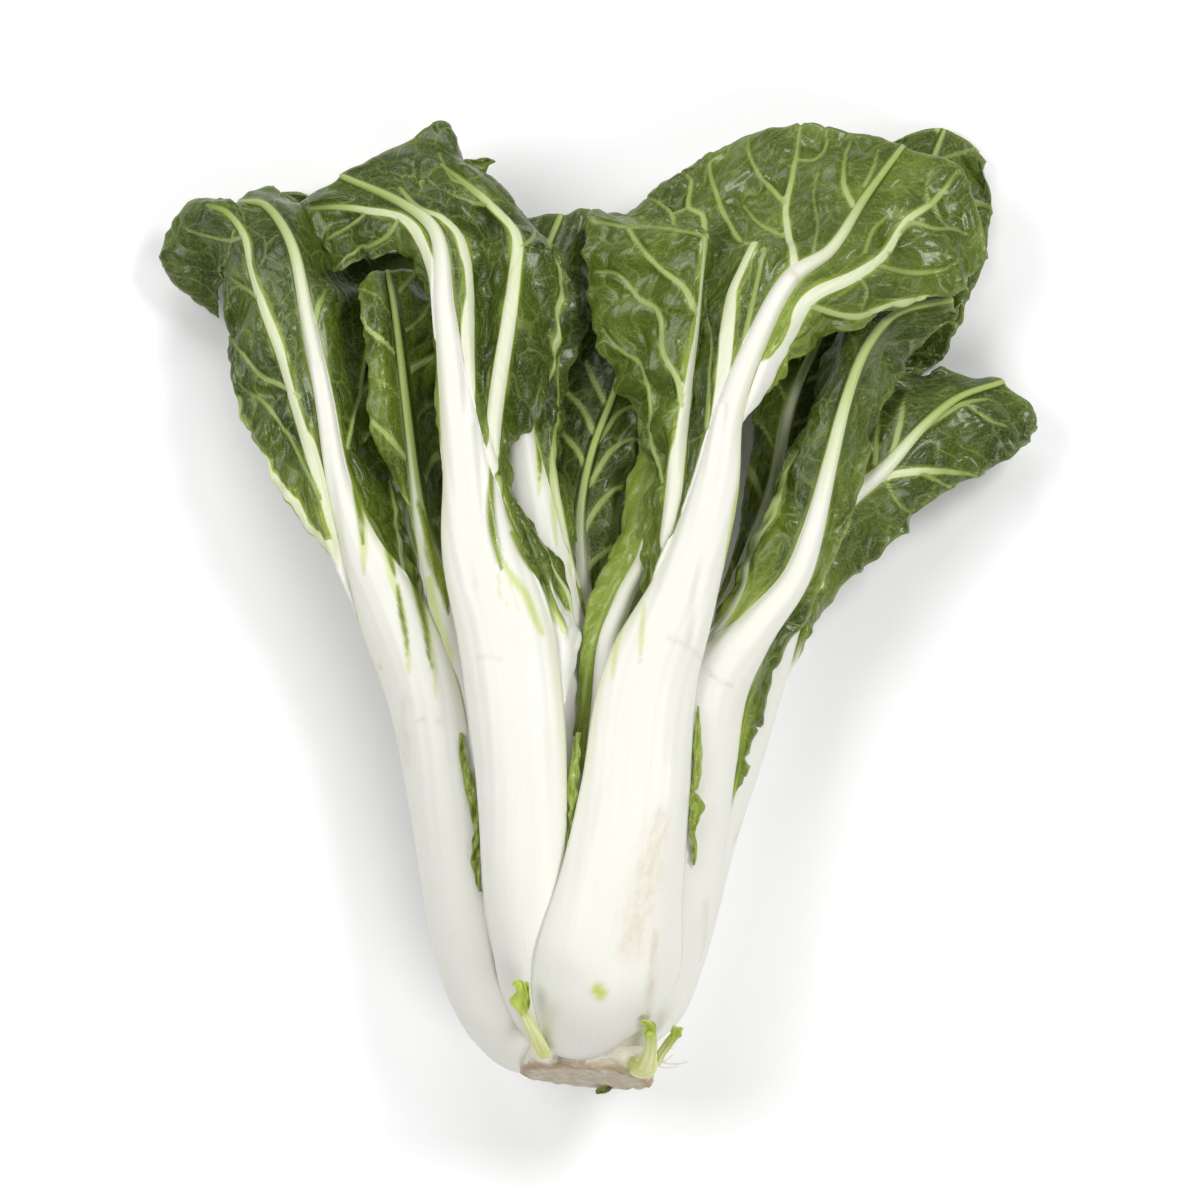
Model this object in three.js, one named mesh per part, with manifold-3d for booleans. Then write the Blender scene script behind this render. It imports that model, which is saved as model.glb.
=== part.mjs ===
// Bok choy: one cut head lying on its side, 354 mm long and 321 mm wide.
//
// Thirteen leaves stand round a short cut stem. Each leaf grew as one piece, so each is one solid:
// a thick white stalk with a crescent section that runs on as the midrib, and thin pleated wings
// on both of its edges that open into the blade. Three small side shoots stand at the stem's rim.
//
// Millimetres. The head lies on z = 0 along Y, with its cut stem towards -Y and its leaf ends
// towards +Y. The origin is the centre of the bottom of the bounding box.

import * as THREE from 'three';
import { mergeVertices } from 'three/addons/utils/BufferGeometryUtils.js';
import Module from 'manifold-3d';

const wasm = await Module();
wasm.setup();

// ---- Driving dimensions ----------------------------------------------------------------------

const CLEARANCE = 0.4;         // gap that neighbouring pieces keep where they press together
const BLADE_THICKNESS = 0.9;   // wing of a leaf, at its margin
const EDGE_THICKNESS = 1.3;    // wing of a leaf, where it leaves the stalk
const SEAM_WIDTH = 0.5;        // strip that a wing starts from, along the edge of the stalk
const STALK_SEGMENTS = 6;      // flats across a stalk
const FOOT_STATIONS = 2;       // stations of a stalk that make its rounded foot
const STALK_EDGE = 0.3;        // a stalk's thickness at its edge, as a share of its middle
const LEAVES_OVER_STEM = 2;    // leaves at the head of the list that the cut stem gives way to
const HEADING_STEP = 0.05;     // part of a step between stations that a direction is taken over
const GROUND = { side: 600, depth: 60 };   // block that cuts the pieces flat at z = 0

// Moves the head as drawn below so that its bounding box is centred on the origin.
const HEAD_SHIFT = new THREE.Vector3(0.55, -2.44, 0);

// The cut stem: a short round block whose cut face looks towards -Y and a little upwards.
const STEM = {
  faceCentre: new THREE.Vector3(-5, -171, 42),
  faceTilt: 8,        // degrees that the cut face looks up
  faceSkew: -5,       // degrees that it looks towards -X
  flatten: 0.86,      // height over width
  sides: 20,
  lobes: 0.035,       // depth of the three lobes round the stem, as a share of its radius
  ripples: 0.025,     // depth of the five smaller ones
  // [distance from the cut face, radius] for each ring
  profile: [[0, 22.8], [2.1, 23.5], [9, 22.8], [16.5, 20.2], [24, 16.9], [30, 15]],
};

// ---- The leaves ------------------------------------------------------------------------------
//
// stalk: stations from the cut stem to the leaf's tip. Each is
//   [x, y, z, half-width, thickness, roll, curl]: the middle of the stalk, half of its width
//   along the crescent, its thickness, the degrees that its outer side leans from straight up
//   towards +X, and the degrees that the crescent turns from its middle to its edge.
// left, right: the wings on the stalk's two edges. A wing starts at the station `from`; its
//   curves run beside the later stations, one point for each, from the rib next to the stalk
//   out to the leaf's margin. Their last points make the outline of the leaf's end.
// ruffle: the height of the waves along a wing's margin, one wave to a station.
// rows: how many rows of the surface lie between two stations of the blade.

const LEAVES = [
  {
    name: 'leaf_front_right',
    rows: 2,
    stalk: [
      [-2, -162, 53, 15, 7, 12, 50], [0, -156, 71, 22.5, 8, 12, 50], [2, -145, 82, 27, 9, 12, 48],
      [5, -129, 88, 27.5, 9, 12, 43], [9, -103, 88, 23, 8, 12, 38], [13, -73, 84, 20, 8, 10, 35],
      [18, -33, 79, 17.5, 7.5, 8, 33], [30, -1, 77, 12, 7, 6, 32], [41, 35, 76, 8.3, 6.5, 4, 32],
      [45, 60, 76, 5.2, 6, 2, 30], [54, 85, 75, 3.8, 5, 0, 30], [67, 110, 73, 2.8, 4.5, 0, 30],
      [82, 122, 66, 1.9, 3.5, 0, 30], [95, 143, 55, 1.4, 2.5, 0, 30], [110, 165, 41, 0.7, 1.2, 0, 30],
    ],
    left: {
      from: 6,
      ruffle: 0,
      curves: [
        [[18, -2, 74], [33, 33, 74], [38, 60, 74], [44, 93, 74],
          [56, 123, 72], [57, 127, 57], [68, 149, 47], [73, 173, 37]],
        [[17, -4, 72], [29, 31, 70.5], [32, 57, 67], [35, 82, 64],
          [39, 116, 63], [48, 130, 52], [52, 147, 44], [52, 169, 35]],
        [[17, -5, 72], [25, 32, 71], [26, 53, 71], [28, 71, 70],
          [36, 126, 71], [38, 129, 55], [36, 141, 47], [33, 158, 37]],
        [[16, -15, 69], [21, 28, 66], [21, 50, 64], [17, 82, 63],
          [17, 130, 67], [19, 133, 53], [19, 139, 45], [19, 147, 37]],
        [[15, -21, 67], [15, 21, 61], [16, 55, 57], [-2, 95, 52],
          [-5, 134, 57], [-3, 135, 49], [-2, 136, 43], [0, 135, 37]],
      ],
    },
    right: {
      from: 9,
      ruffle: 1.2,
      curves: [
        [[63, 89, 74], [74, 102, 73], [91, 113, 67], [109, 132, 53], [128, 158, 41]],
        [[67, 86, 68], [84, 98, 65], [104, 107, 57], [123, 126, 47], [137, 141, 39]],
        [[70, 84, 62], [91, 96, 58], [116, 107, 50], [131, 113, 43], [140, 123, 37]],
      ],
    },
  },
  {
    name: 'leaf_front_left',
    rows: 2,
    stalk: [
      [-13, -161, 53, 12, 7, -25, 50], [-22, -148, 68, 15.5, 8.5, -28, 48], [-26, -127, 77, 16, 9, -28, 45],
      [-28, -105, 81, 16, 8.5, -22, 42], [-28, -76, 82, 16.5, 8, -15, 38], [-30, -44, 81, 17.5, 8, -8, 36],
      [-34, -15, 79, 17, 7.5, -3, 34], [-42, 14, 78, 14, 7, 0, 32], [-47, 42, 77, 8.5, 6.5, 0, 32],
      [-51, 69, 76, 5.4, 5.5, 0, 30], [-55, 100, 74, 3.3, 4.5, 0, 30], [-58, 127, 68, 2.4, 3.5, 0, 30],
      [-70, 140, 57, 1.6, 2.5, 0, 30], [-94, 154, 41, 0.7, 1.2, 0, 30],
    ],
    left: {
      from: 8,
      ruffle: 1,
      curves: [
        [[-57, 69, 74], [-58, 100, 72], [-65, 125, 64], [-83, 138, 50], [-106, 148, 33]],
        [[-57, 69, 72], [-59, 103, 68], [-69, 123, 59], [-93, 130, 44], [-113, 140, 29]],
        [[-58, 69, 70], [-60, 107, 64], [-73, 124, 54], [-93, 120, 43], [-106, 126, 31]],
      ],
    },
    right: {
      from: 5,
      ruffle: 1,
      curves: [
        [[-17, -16, 74], [-26, 11, 74], [-38, 45, 74], [-45, 71, 74],
          [-48, 103, 73], [-51, 125, 68], [-62, 143, 57], [-79, 161, 41]],
        [[-16, -17, 72], [-23, 10, 71], [-37, 45, 73], [-41, 71, 70],
          [-40, 100, 64], [-40, 125, 61], [-53, 149, 53], [-69, 167, 39]],
        [[-14, -17, 73], [-20, 9, 72], [-36, 45, 72], [-35, 77, 73],
          [-31, 107, 72], [-31, 126, 67], [-43, 146, 57], [-58, 172, 42]],
        [[-11, -19, 71], [-17, 7, 68], [-35, 45, 69], [-28, 73, 66],
          [-21, 107, 67], [-22, 125, 63], [-36, 145, 54], [-52, 161, 40]],
        [[-8, -19, 64], [-11, 2, 60], [-34, 45, 64], [-21, 66, 58],
          [-13, 102, 58], [-15, 121, 57], [-31, 138, 50], [-47, 150, 39]],
      ],
    },
  },
  {
    name: 'leaf_left',
    rows: 2,
    stalk: [
      [-19, -163, 43, 12, 7, -70, 50], [-38, -157, 45, 17, 8.5, -68, 48], [-49, -139, 47, 19, 9, -65, 46],
      [-54, -116, 49, 19.5, 9, -60, 44], [-58, -84, 50, 19, 8.5, -52, 42], [-62, -55, 51, 18.5, 8, -44, 40],
      [-67, -30, 52, 16.5, 7.5, -34, 38], [-77, -4, 53, 13, 6.5, -24, 36], [-87, 19, 54, 7, 6, -16, 34],
      [-94, 42, 54, 4, 5.5, -10, 32], [-99, 71, 54, 3, 5, -6, 30], [-105, 100, 53, 2.3, 4.5, -4, 30],
      [-111, 127, 49, 1.8, 3.5, 0, 30], [-121, 143, 39, 1.3, 2.5, 0, 30], [-132, 147, 27, 0.7, 1.2, 0, 30],
    ],
    left: {
      from: 7,
      ruffle: 2,
      curves: [
        [[-96, 17, 53], [-102, 42, 54], [-106, 71, 54], [-117, 95, 52],
          [-124, 121, 47], [-134, 141, 37], [-151, 147, 25]],
        [[-96, 16, 51.5], [-107, 41, 50], [-115, 68, 47], [-125, 96, 45],
          [-129, 121, 41], [-141, 135, 31], [-161, 127, 16]],
        [[-97, 15, 50], [-111, 32, 47], [-124, 57, 43], [-133, 80, 39],
          [-136, 107, 35], [-138, 121, 27], [-140, 106, 10]],
      ],
    },
    right: {
      from: 6,
      ruffle: 1,
      curves: [
        [[-64, -5, 54], [-78, 18, 53], [-88, 43, 51], [-93, 71, 51],
          [-99, 101, 51], [-106, 125, 47], [-114, 143, 39], [-125, 151, 27]],
        [[-62, -9, 53], [-74, 13, 52], [-83, 37, 48], [-86, 64, 41],
          [-91, 93, 39], [-95, 116, 35], [-104, 138, 31], [-116, 150, 22]],
        [[-60, -13, 51], [-69, 9, 46], [-76, 35, 40], [-78, 62, 35],
          [-82, 91, 33], [-87, 111, 31], [-96, 132, 24], [-107, 147, 16]],
        [[-56, -19, 49], [-64, 3, 44], [-71, 33, 40], [-71, 57, 38],
          [-72, 82, 36], [-76, 107, 32], [-89, 129, 22], [-100, 143, 14]],
      ],
    },
  },
  {
    name: 'leaf_inner_left',
    rows: 1,
    stalk: [
      [-14, -158, 51, 9, 5, -45, 45], [-33, -130, 61, 12, 5, -45, 40], [-42, -94, 59, 12, 5, -35, 38],
      [-47, -58, 57, 11, 5, -25, 36], [-52, -30, 55, 8.5, 4.5, -15, 34], [-57, -1, 54, 5, 4.5, -8, 32],
      [-64, 28, 52, 2.6, 4, 0, 30], [-68, 57, 52, 1.9, 3.5, 0, 30], [-71, 82, 51, 1.6, 3, 0, 30],
      [-74, 104, 48, 1.2, 2.5, 0, 30], [-77, 119, 41, 0.7, 1.5, 0, 30],
    ],
    left: {
      from: 5,
      ruffle: 1,
      curves: [
        [[-68, 30, 51], [-75, 57, 54], [-78, 82, 56], [-80, 104, 55], [-82, 117, 47]],
        [[-70, 35, 49], [-81, 59, 52], [-83, 82, 54], [-86, 107, 52], [-87, 113, 43]],
      ],
    },
    right: {
      from: 4,
      ruffle: 1,
      curves: [
        [[-51, -1, 52], [-60, 28, 47], [-62, 57, 44], [-64, 82, 45], [-66, 105, 43], [-69, 120, 38]],
        [[-49, -5, 50], [-57, 21, 44], [-57, 53, 40], [-59, 82, 40], [-61, 107, 39], [-64, 120, 34]],
      ],
    },
  },
  {
    name: 'leaf_centre_left',
    rows: 2,
    stalk: [
      [-7, -156, 57, 9, 6, -10, 45], [-9, -130, 65, 14, 6.5, -8, 42], [-11, -94, 65, 16, 6.5, -6, 40],
      [-14, -58, 63, 16, 6, -5, 38], [-15, -30, 60, 14, 6, -4, 36], [-19, -1, 58, 11, 5.5, -4, 34],
      [-24, 28, 56, 9, 5, -3, 32], [-28, 57, 55, 4.5, 4.5, 0, 30], [-29, 86, 53, 2, 4, 0, 30],
      [-25, 111, 47, 1.4, 3, 0, 30], [-14, 140, 39, 0.8, 1.5, 0, 30],
    ],
    left: {
      from: 6,
      ruffle: 1,
      curves: [
        [[-33, 55, 51], [-35, 82, 47], [-33, 107, 43], [-25, 139, 35]],
        [[-36, 50, 49], [-38, 78, 43], [-39, 104, 39], [-34, 133, 33]],
      ],
    },
    right: {
      from: 4,
      ruffle: 1,
      curves: [
        [[-8, -1, 55], [-14, 28, 54], [-17, 53, 53], [-18, 82, 51], [-13, 107, 47], [-6, 142, 39]],
        [[-6, -3, 53], [-11, 28, 47], [-14, 53, 44], [-11, 82, 42], [-3, 107, 40], [1, 140, 34]],
      ],
    },
  },
  {
    name: 'leaf_centre',
    rows: 1,
    stalk: [
      [-3, -156, 47, 10, 6, 5, 45], [-3, -127, 51, 14, 6, 5, 42], [-3, -91, 49, 14, 6, 5, 40],
      [-4, -55, 47, 13, 5.5, 4, 38], [-6, -22, 44, 7.5, 5, 3, 36], [-7, 6, 41, 3.4, 4.5, 0, 32],
      [-7, 32, 40, 2, 4, 0, 30], [-3, 53, 40, 1.5, 3.5, 0, 30], [5, 75, 38, 1.2, 3, 0, 30],
      [10, 93, 33, 1, 2, 0, 30], [14, 107, 27, 0.7, 1.2, 0, 30],
    ],
    left: {
      from: 4,
      ruffle: 1,
      curves: [
        [[-14, 6, 39], [-14, 32, 37], [-14, 57, 35], [-8, 78, 33], [-3, 100, 30], [3, 116, 25]],
        [[-15, 5, 37], [-19, 32, 34], [-19, 57, 32], [-16, 82, 30], [-13, 104, 26], [-6, 120, 22]],
      ],
    },
    right: {
      from: 4,
      ruffle: 1,
      curves: [
        [[-1, 6, 39], [2, 32, 39], [5, 53, 38], [11, 73, 35], [16, 91, 31], [19, 107, 25]],
        [[2, 8, 39], [8, 32, 38], [13, 55, 38], [16, 71, 35], [21, 89, 29], [25, 105, 23]],
      ],
    },
  },
  {
    name: 'leaf_inner_right',
    rows: 1,
    stalk: [
      [2, -156, 59, 9, 5.5, 8, 45], [4, -127, 70, 12, 6, 8, 40], [5, -94, 70, 12, 6, 6, 38],
      [4, -66, 68, 10, 5.5, 4, 36], [3, -40, 66, 6.5, 5, 0, 34], [3, -19, 64, 4.2, 4.5, -4, 32],
      [8, -3, 62, 2.8, 4, -4, 30], [16, 14, 59, 2.2, 3.5, 0, 30], [22, 42, 54, 1.6, 3, 0, 30],
      [27, 71, 49, 1.2, 2.5, 0, 30], [30, 96, 43, 0.7, 1.2, 0, 30],
    ],
    left: {
      from: 2,
      ruffle: 1,
      curves: [
        [[-6, -71, 66], [-5, -40, 66], [-2, -19, 64], [2, -4, 62],
          [9, 14, 58], [16, 42, 52], [21, 71, 46], [23, 96, 40]],
        [[-10, -76, 64], [-8, -42, 64], [-7, -21, 64], [-4, -3, 62],
          [2, 11, 56], [11, 39, 46], [15, 68, 42], [17, 93, 38]],
      ],
    },
    right: {
      from: 4,
      ruffle: 1,
      curves: [
        [[7, -21, 62], [12, -5, 58], [21, 10, 54], [28, 39, 49], [33, 68, 45], [37, 93, 40]],
        [[10, -22, 59], [16, -8, 55], [25, 8, 50], [34, 35, 46], [39, 64, 42], [42, 89, 38]],
      ],
    },
  },
  {
    name: 'leaf_right',
    rows: 2,
    stalk: [
      [5, -162, 49, 11, 7, 50, 50], [19, -148, 59, 16, 8, 50, 48], [26, -130, 65, 17.5, 8.5, 48, 45],
      [32, -109, 67, 17.5, 8, 42, 42], [34, -84, 66, 17, 8, 34, 40], [37, -58, 65, 16, 7.5, 28, 38],
      [42, -33, 64, 13, 7, 22, 36], [56, -13, 63, 7, 6, 15, 34], [69, 4, 62, 4.6, 5.5, 10, 32],
      [76, 23, 61, 3.5, 5, 8, 30], [82, 47, 59, 2.6, 4.5, 6, 30], [88, 70, 57, 2.1, 4, 4, 30],
      [96, 90, 52, 1.6, 3, 0, 30], [107, 103, 44, 1.2, 2, 0, 30], [128, 110, 33, 0.7, 1.2, 0, 30],
    ],
    left: {
      from: 6,
      ruffle: 1.6,
      curves: [
        [[45, -10, 61], [58, 12, 59], [66, 30, 57], [73, 51, 55],
          [81, 75, 52], [89, 96, 46], [102, 109, 39], [120, 116, 30]],
        [[39, -13, 57], [50, 6, 54], [58, 31, 52], [66, 46, 50],
          [77, 62, 47], [83, 86, 40], [91, 104, 34], [105, 114, 26]],
      ],
    },
    right: {
      from: 4,
      ruffle: 1.2,
      curves: [
        [[49, -62, 52], [55, -39, 52], [61, -15, 55], [74, 3, 58], [82, 22, 57],
          [89, 46, 54], [96, 69, 50], [102, 88, 44], [114, 100, 38], [129, 107, 29]],
        [[52, -64, 48], [58, -40, 48], [67, -17, 51], [77, 0, 55], [86, 19, 54],
          [95, 48, 49], [101, 67, 44], [109, 81, 38], [120, 97, 32], [132, 112, 25]],
      ],
    },
  },
  {
    name: 'leaf_far_right',
    rows: 2,
    stalk: [
      [8, -163, 41, 10, 6, 85, 50], [25, -149, 41, 15, 7.5, 85, 46], [33, -130, 43, 16, 8, 84, 44],
      [39, -109, 45, 16.5, 7.5, 80, 42], [45, -84, 45, 15.5, 7, 70, 40], [53, -58, 45, 12.5, 6.5, 58, 38],
      [60, -33, 45, 9.5, 6, 45, 36], [68, -8, 46, 6, 5.5, 35, 34], [76, 14, 46, 4.2, 5, 25, 32],
      [88, 34, 45, 3.1, 4.5, 15, 30], [102, 46, 43, 2.3, 4, 8, 30], [117, 63, 39, 1.6, 3, 4, 30],
      [130, 74, 33, 1.1, 2, 0, 30], [147, 81, 25, 0.7, 1.2, 0, 30],
    ],
    left: {
      from: 7,
      ruffle: 1.5,
      curves: [
        [[72, 18, 45], [84, 42, 41], [97, 55, 39], [106, 71, 35], [118, 77, 31], [134, 83, 23]],
        [[70, 21, 43], [82, 49, 37], [91, 62, 35], [98, 73, 31], [106, 80, 27], [122, 83, 21]],
      ],
    },
    right: {
      from: 6,
      ruffle: 2,
      curves: [
        [[73, -13, 42], [82, 10, 43], [95, 29, 42], [111, 42, 40],
          [129, 55, 35], [144, 65, 29], [157, 73, 21]],
        [[75, -13, 39], [88, 6, 38], [104, 19, 36], [116, 34, 34],
          [138, 47, 30], [151, 55, 25], [160, 65, 19]],
      ],
    },
  },
  {
    name: 'leaf_back_right',
    rows: 1,
    stalk: [
      [3, -156, 43, 9, 6, 30, 45], [14, -127, 47, 13, 6, 30, 42], [22, -91, 45, 13, 6, 26, 40],
      [33, -55, 42, 12, 5.5, 20, 38], [44, -19, 38, 8, 5, 15, 36], [55, 14, 34, 4, 4.5, 10, 34],
      [63, 42, 32, 2, 4, 5, 30], [68, 68, 30, 1.6, 3.5, 0, 30], [76, 89, 28, 1.3, 3, 0, 30],
      [87, 111, 24, 1, 2, 0, 30], [98, 129, 19, 0.7, 1.2, 0, 30],
    ],
    left: {
      from: 4,
      ruffle: 1,
      curves: [
        [[51, 15, 32], [57, 46, 29], [61, 71, 27], [68, 93, 25], [77, 114, 21], [87, 132, 16]],
        [[48, 17, 30], [54, 46, 26], [56, 71, 24], [60, 96, 22], [69, 118, 18], [78, 135, 14]],
      ],
    },
    right: {
      from: 4,
      ruffle: 1,
      curves: [
        [[60, 12, 32], [70, 39, 30], [77, 64, 28], [86, 87, 26], [97, 107, 22], [109, 125, 17]],
        [[64, 8, 30], [75, 35, 28], [84, 60, 26], [91, 84, 24], [104, 100, 20], [118, 116, 15]],
      ],
    },
  },
  {
    name: 'leaf_under_right',
    rows: 1,
    stalk: [
      [3, -163, 31, 12, 7, 130, 50], [15, -147, 21, 16, 8.5, 130, 46], [22, -127, 17, 17, 9, 135, 44],
      [30, -98, 15, 17, 8.5, 140, 42], [38, -66, 13, 16, 8, 150, 40], [47, -33, 12, 14, 7.5, 160, 38],
      [58, 3, 11, 10, 7, 170, 36], [71, 42, 9, 7, 6, 180, 32], [84, 78, 6, 5, 5.5, 180, 30],
      [96, 107, 3, 4, 4.5, 180, 30], [109, 136, 1.3, 2.8, 3.2, 180, 30], [120, 159, 1.6, 1.8, 2.2, 180, 30],
      [128, 179, 4, 0.8, 1.2, 180, 30],
    ],
    left: {
      from: 7,
      ruffle: 0.3,
      curves: [
        [[97, 75, 6], [111, 101, 3.5], [125, 127, 2.5], [133, 150, 3], [138, 173, 5]],
        [[111, 85, 8], [126, 93, 7], [135, 112, 6], [144, 138, 6], [143, 166, 7]],
      ],
    },
    right: {
      from: 7,
      ruffle: 0.3,
      curves: [
        [[73, 86, 6], [84, 114, 3.5], [96, 143, 2.5], [107, 159, 3], [118, 178, 5]],
        [[66, 89, 8], [73, 122, 7], [84, 150, 6], [97, 162, 6], [107, 173, 6]],
      ],
    },
  },
  {
    name: 'leaf_under',
    rows: 1,
    stalk: [
      [-6, -165, 27, 13, 7, 190, 50], [-7, -152, 12, 17.5, 8.5, 190, 48], [-9, -138, 5.5, 19, 9, 190, 44],
      [-9, -116, 3.6, 19, 9, 188, 42], [-9, -91, 3.6, 18.5, 8.5, 187, 42], [-9, -58, 5, 17.5, 8, 186, 40],
      [-9, -33, 6.5, 15, 7.5, 184, 38], [-8, -1, 8.5, 11, 7, 182, 36], [-7, 35, 9.5, 8, 6, 180, 32],
      [-6, 71, 10, 5.5, 5.5, 180, 30], [-3, 100, 10, 4, 4.5, 180, 30], [1, 122, 10.5, 2.5, 3, 180, 30],
      [5, 138, 11.5, 1, 1.2, 180, 30],
    ],
    left: {
      from: 7,
      ruffle: 1,
      curves: [
        [[5, 39, 9], [12, 75, 9], [19, 104, 9], [24, 123, 9.5], [22, 137, 10]],
        [[14, 35, 7], [24, 75, 6.5], [33, 107, 6], [37, 125, 6.5], [33, 137, 7]],
      ],
    },
    right: {
      from: 7,
      ruffle: 1,
      curves: [
        [[-19, 39, 9], [-22, 75, 9], [-22, 104, 9], [-17, 123, 9.5], [-10, 136, 10]],
        [[-28, 35, 7], [-35, 75, 6.5], [-36, 107, 6], [-32, 125, 6.5], [-22, 135, 7]],
      ],
    },
  },
  {
    name: 'leaf_under_left',
    rows: 1,
    stalk: [
      [-14, -163, 31, 12, 7, -130, 50], [-31, -149, 21, 16, 8.5, -130, 46], [-39, -129, 17, 17, 9, -135, 44],
      [-43, -98, 15, 17, 8.5, -140, 42], [-47, -66, 13, 16, 8, -150, 40], [-53, -33, 12, 14, 7.5, -160, 38],
      [-62, 3, 11, 10, 7, -170, 36], [-74, 39, 9, 7, 6, -180, 32], [-86, 71, 6, 5, 5.5, -180, 30],
      [-96, 100, 3, 4, 4.5, -180, 30], [-107, 123, 1.3, 2.8, 3.2, -180, 30], [-116, 140, 1.6, 1.8, 2.2, -180, 30],
      [-123, 154, 4, 0.8, 1.2, -180, 30],
    ],
    left: {
      from: 6,
      ruffle: 0.8,
      curves: [
        [[-64, 42, 8], [-73, 73, 6], [-84, 102, 3.5], [-93, 125, 2.5], [-103, 141, 3], [-114, 155, 5]],
        [[-57, 42, 10], [-62, 73, 8], [-71, 102, 7], [-81, 125, 6], [-91, 140, 6], [-106, 150, 7]],
      ],
    },
    right: {
      from: 6,
      ruffle: 0.8,
      curves: [
        [[-81, 39, 8], [-94, 71, 6], [-107, 98, 3.5], [-118, 121, 2.5], [-125, 138, 3], [-128, 152, 5]],
        [[-87, 35, 10], [-102, 66, 8], [-116, 93, 7], [-127, 114, 6], [-132, 132, 6], [-134, 143, 7]],
      ],
    },
  },
];

// The small side shoots at the rim of the stem: the routes of their stalks, each with its width
// and thickness, and the half-width of the crumpled leaf at the tip.
const SHOOTS = [
  {
    name: 'shoot_left',
    route: [[-18, -162, 66], [-23, -154, 77], [-27, -147, 83], [-28, -141, 87]],
    radius: 1.9,
    tip: 4.2,
  },
  {
    name: 'shoot_right',
    route: [[13, -165, 60], [14.5, -160, 70], [14.5, -155.5, 79], [15, -152, 84]],
    radius: 2.3,
    tip: 3.4,
  },
  {
    name: 'shoot_small',
    route: [[19, -166, 54], [22, -161, 62], [25, -156, 68], [27, -153, 72]],
    radius: 1.2,
    tip: 2.2,
  },
];

// What the side shoots have in common.
const SHOOT_FORM = {
  sides: 8,
  steps: 9,
  leafFrom: 0.6,      // share of the length where the stalk starts to open into the leaf
  closeFrom: 0.85,    // share where the leaf starts to close again
  closing: 0.75,      // how much it closes by its end
  crease: 0.72,       // half-width at every second side, which creases the leaf
  flatness: 0.35,     // height of the leaf over its width
};

// ---- Smooth interpolation --------------------------------------------------------------------

function distance(a, b) {
  return Math.max(Math.hypot(a[0] - b[0], a[1] - b[1], a[2] - b[2]), 1e-6);
}

// A smooth value at position u along a list of points, passing point i at u = i. The slopes
// follow the distances between the points, so that uneven steps don't overshoot.
function along(points, u) {
  const last = points.length - 1;
  const i = Math.min(Math.max(Math.floor(u), 0), last - 1);
  const f = u - i;
  const a = points[i];
  const b = points[i + 1];
  const before = points[i - 1] ?? a.map((value, k) => 2 * value - b[k]);
  const after = points[i + 2] ?? b.map((value, k) => 2 * value - a[k]);
  const step = distance(a, b);
  const stepBefore = distance(before, a);
  const stepAfter = distance(b, after);
  return a.map((value, k) => {
    const slopeA = (b[k] - before[k]) * step / (step + stepBefore);
    const slopeB = (after[k] - value) * step / (step + stepAfter);
    const rise = b[k] - value;
    return value + f * (slopeA + f * (3 * rise - 2 * slopeA - slopeB + f * (slopeA + slopeB - 2 * rise)));
  });
}

// The direction in which a list of points runs at position u. Each point starts with x, y, z.
function heading(points, u) {
  const ahead = along(points, u + HEADING_STEP).slice(0, 3);
  const behind = along(points, u - HEADING_STEP).slice(0, 3);
  return new THREE.Vector3(...ahead).sub(new THREE.Vector3(...behind)).normalize();
}

// ---- The surface of a leaf -------------------------------------------------------------------

// The crescent section of a stalk at station u: its middle, its frame and its measures.
function stalkSection(leaf, u) {
  const [x, y, z, halfWidth, thickness, roll, curl] = along(leaf.stalk, u);
  const middle = new THREE.Vector3(x, y, z);
  const forward = heading(leaf.stalk, u);
  const lean = THREE.MathUtils.degToRad(roll);
  const outward = new THREE.Vector3(Math.sin(lean), 0, Math.cos(lean));
  outward.addScaledVector(forward, -outward.dot(forward)).normalize();
  const across = new THREE.Vector3().crossVectors(forward, outward);
  return { middle, across, outward, halfWidth, thickness, curl: THREE.MathUtils.degToRad(curl) };
}

// A point on the crescent: q runs from -1 on the left edge to 1 on the right edge.
function onCrescent(section, q) {
  const angle = section.curl * q;
  const radius = section.halfWidth / section.curl;
  return section.middle.clone()
    .addScaledVector(section.across, radius * Math.sin(angle))
    .addScaledVector(section.outward, -radius * (1 - Math.cos(angle)));
}

// The direction in which the crescent runs out over its edge on the given side.
function overEdge(section, side) {
  return section.across.clone().multiplyScalar(side * Math.cos(section.curl))
    .addScaledVector(section.outward, -Math.sin(section.curl));
}

// The curves of a wing with their first point added: the seam on the edge of the stalk.
function seamedCurves(leaf, wing, side) {
  const section = stalkSection(leaf, wing.from);
  const edge = onCrescent(section, side);
  const out = overEdge(section, side);
  return wing.curves.map((curve, k) => {
    const seam = edge.clone().addScaledVector(out, (k + 1) * SEAM_WIDTH);
    return [seam.toArray(), ...curve];
  });
}

// The wing's points at station u, from the stalk's edge to the leaf's margin. Its curves keep
// beside the stalk, so that the wing never lies on it.
function acrossWing(leaf, wing, curves, section, u, side) {
  const edge = onCrescent(section, side);
  const out = overEdge(section, side);
  const points = [edge.toArray()];
  curves.forEach((curve, k) => {
    const seam = edge.clone().addScaledVector(out, (k + 1) * SEAM_WIDTH).toArray();
    const beside = u <= wing.from ? seam : along(curve, u - wing.from);
    const wave = wing.ruffle * ((k + 1) / curves.length) ** 3 * Math.cos(2 * Math.PI * u);
    const point = new THREE.Vector3(...beside);
    if (u > wing.from) {
      point.z += wave;
      const overlap = (k + 1) * SEAM_WIDTH - point.clone().sub(edge).dot(section.across) * side;
      point.addScaledVector(section.across, Math.max(overlap, 0) * side);
    }
    points.push(point.toArray());
  });
  return points.slice(1);
}

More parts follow.
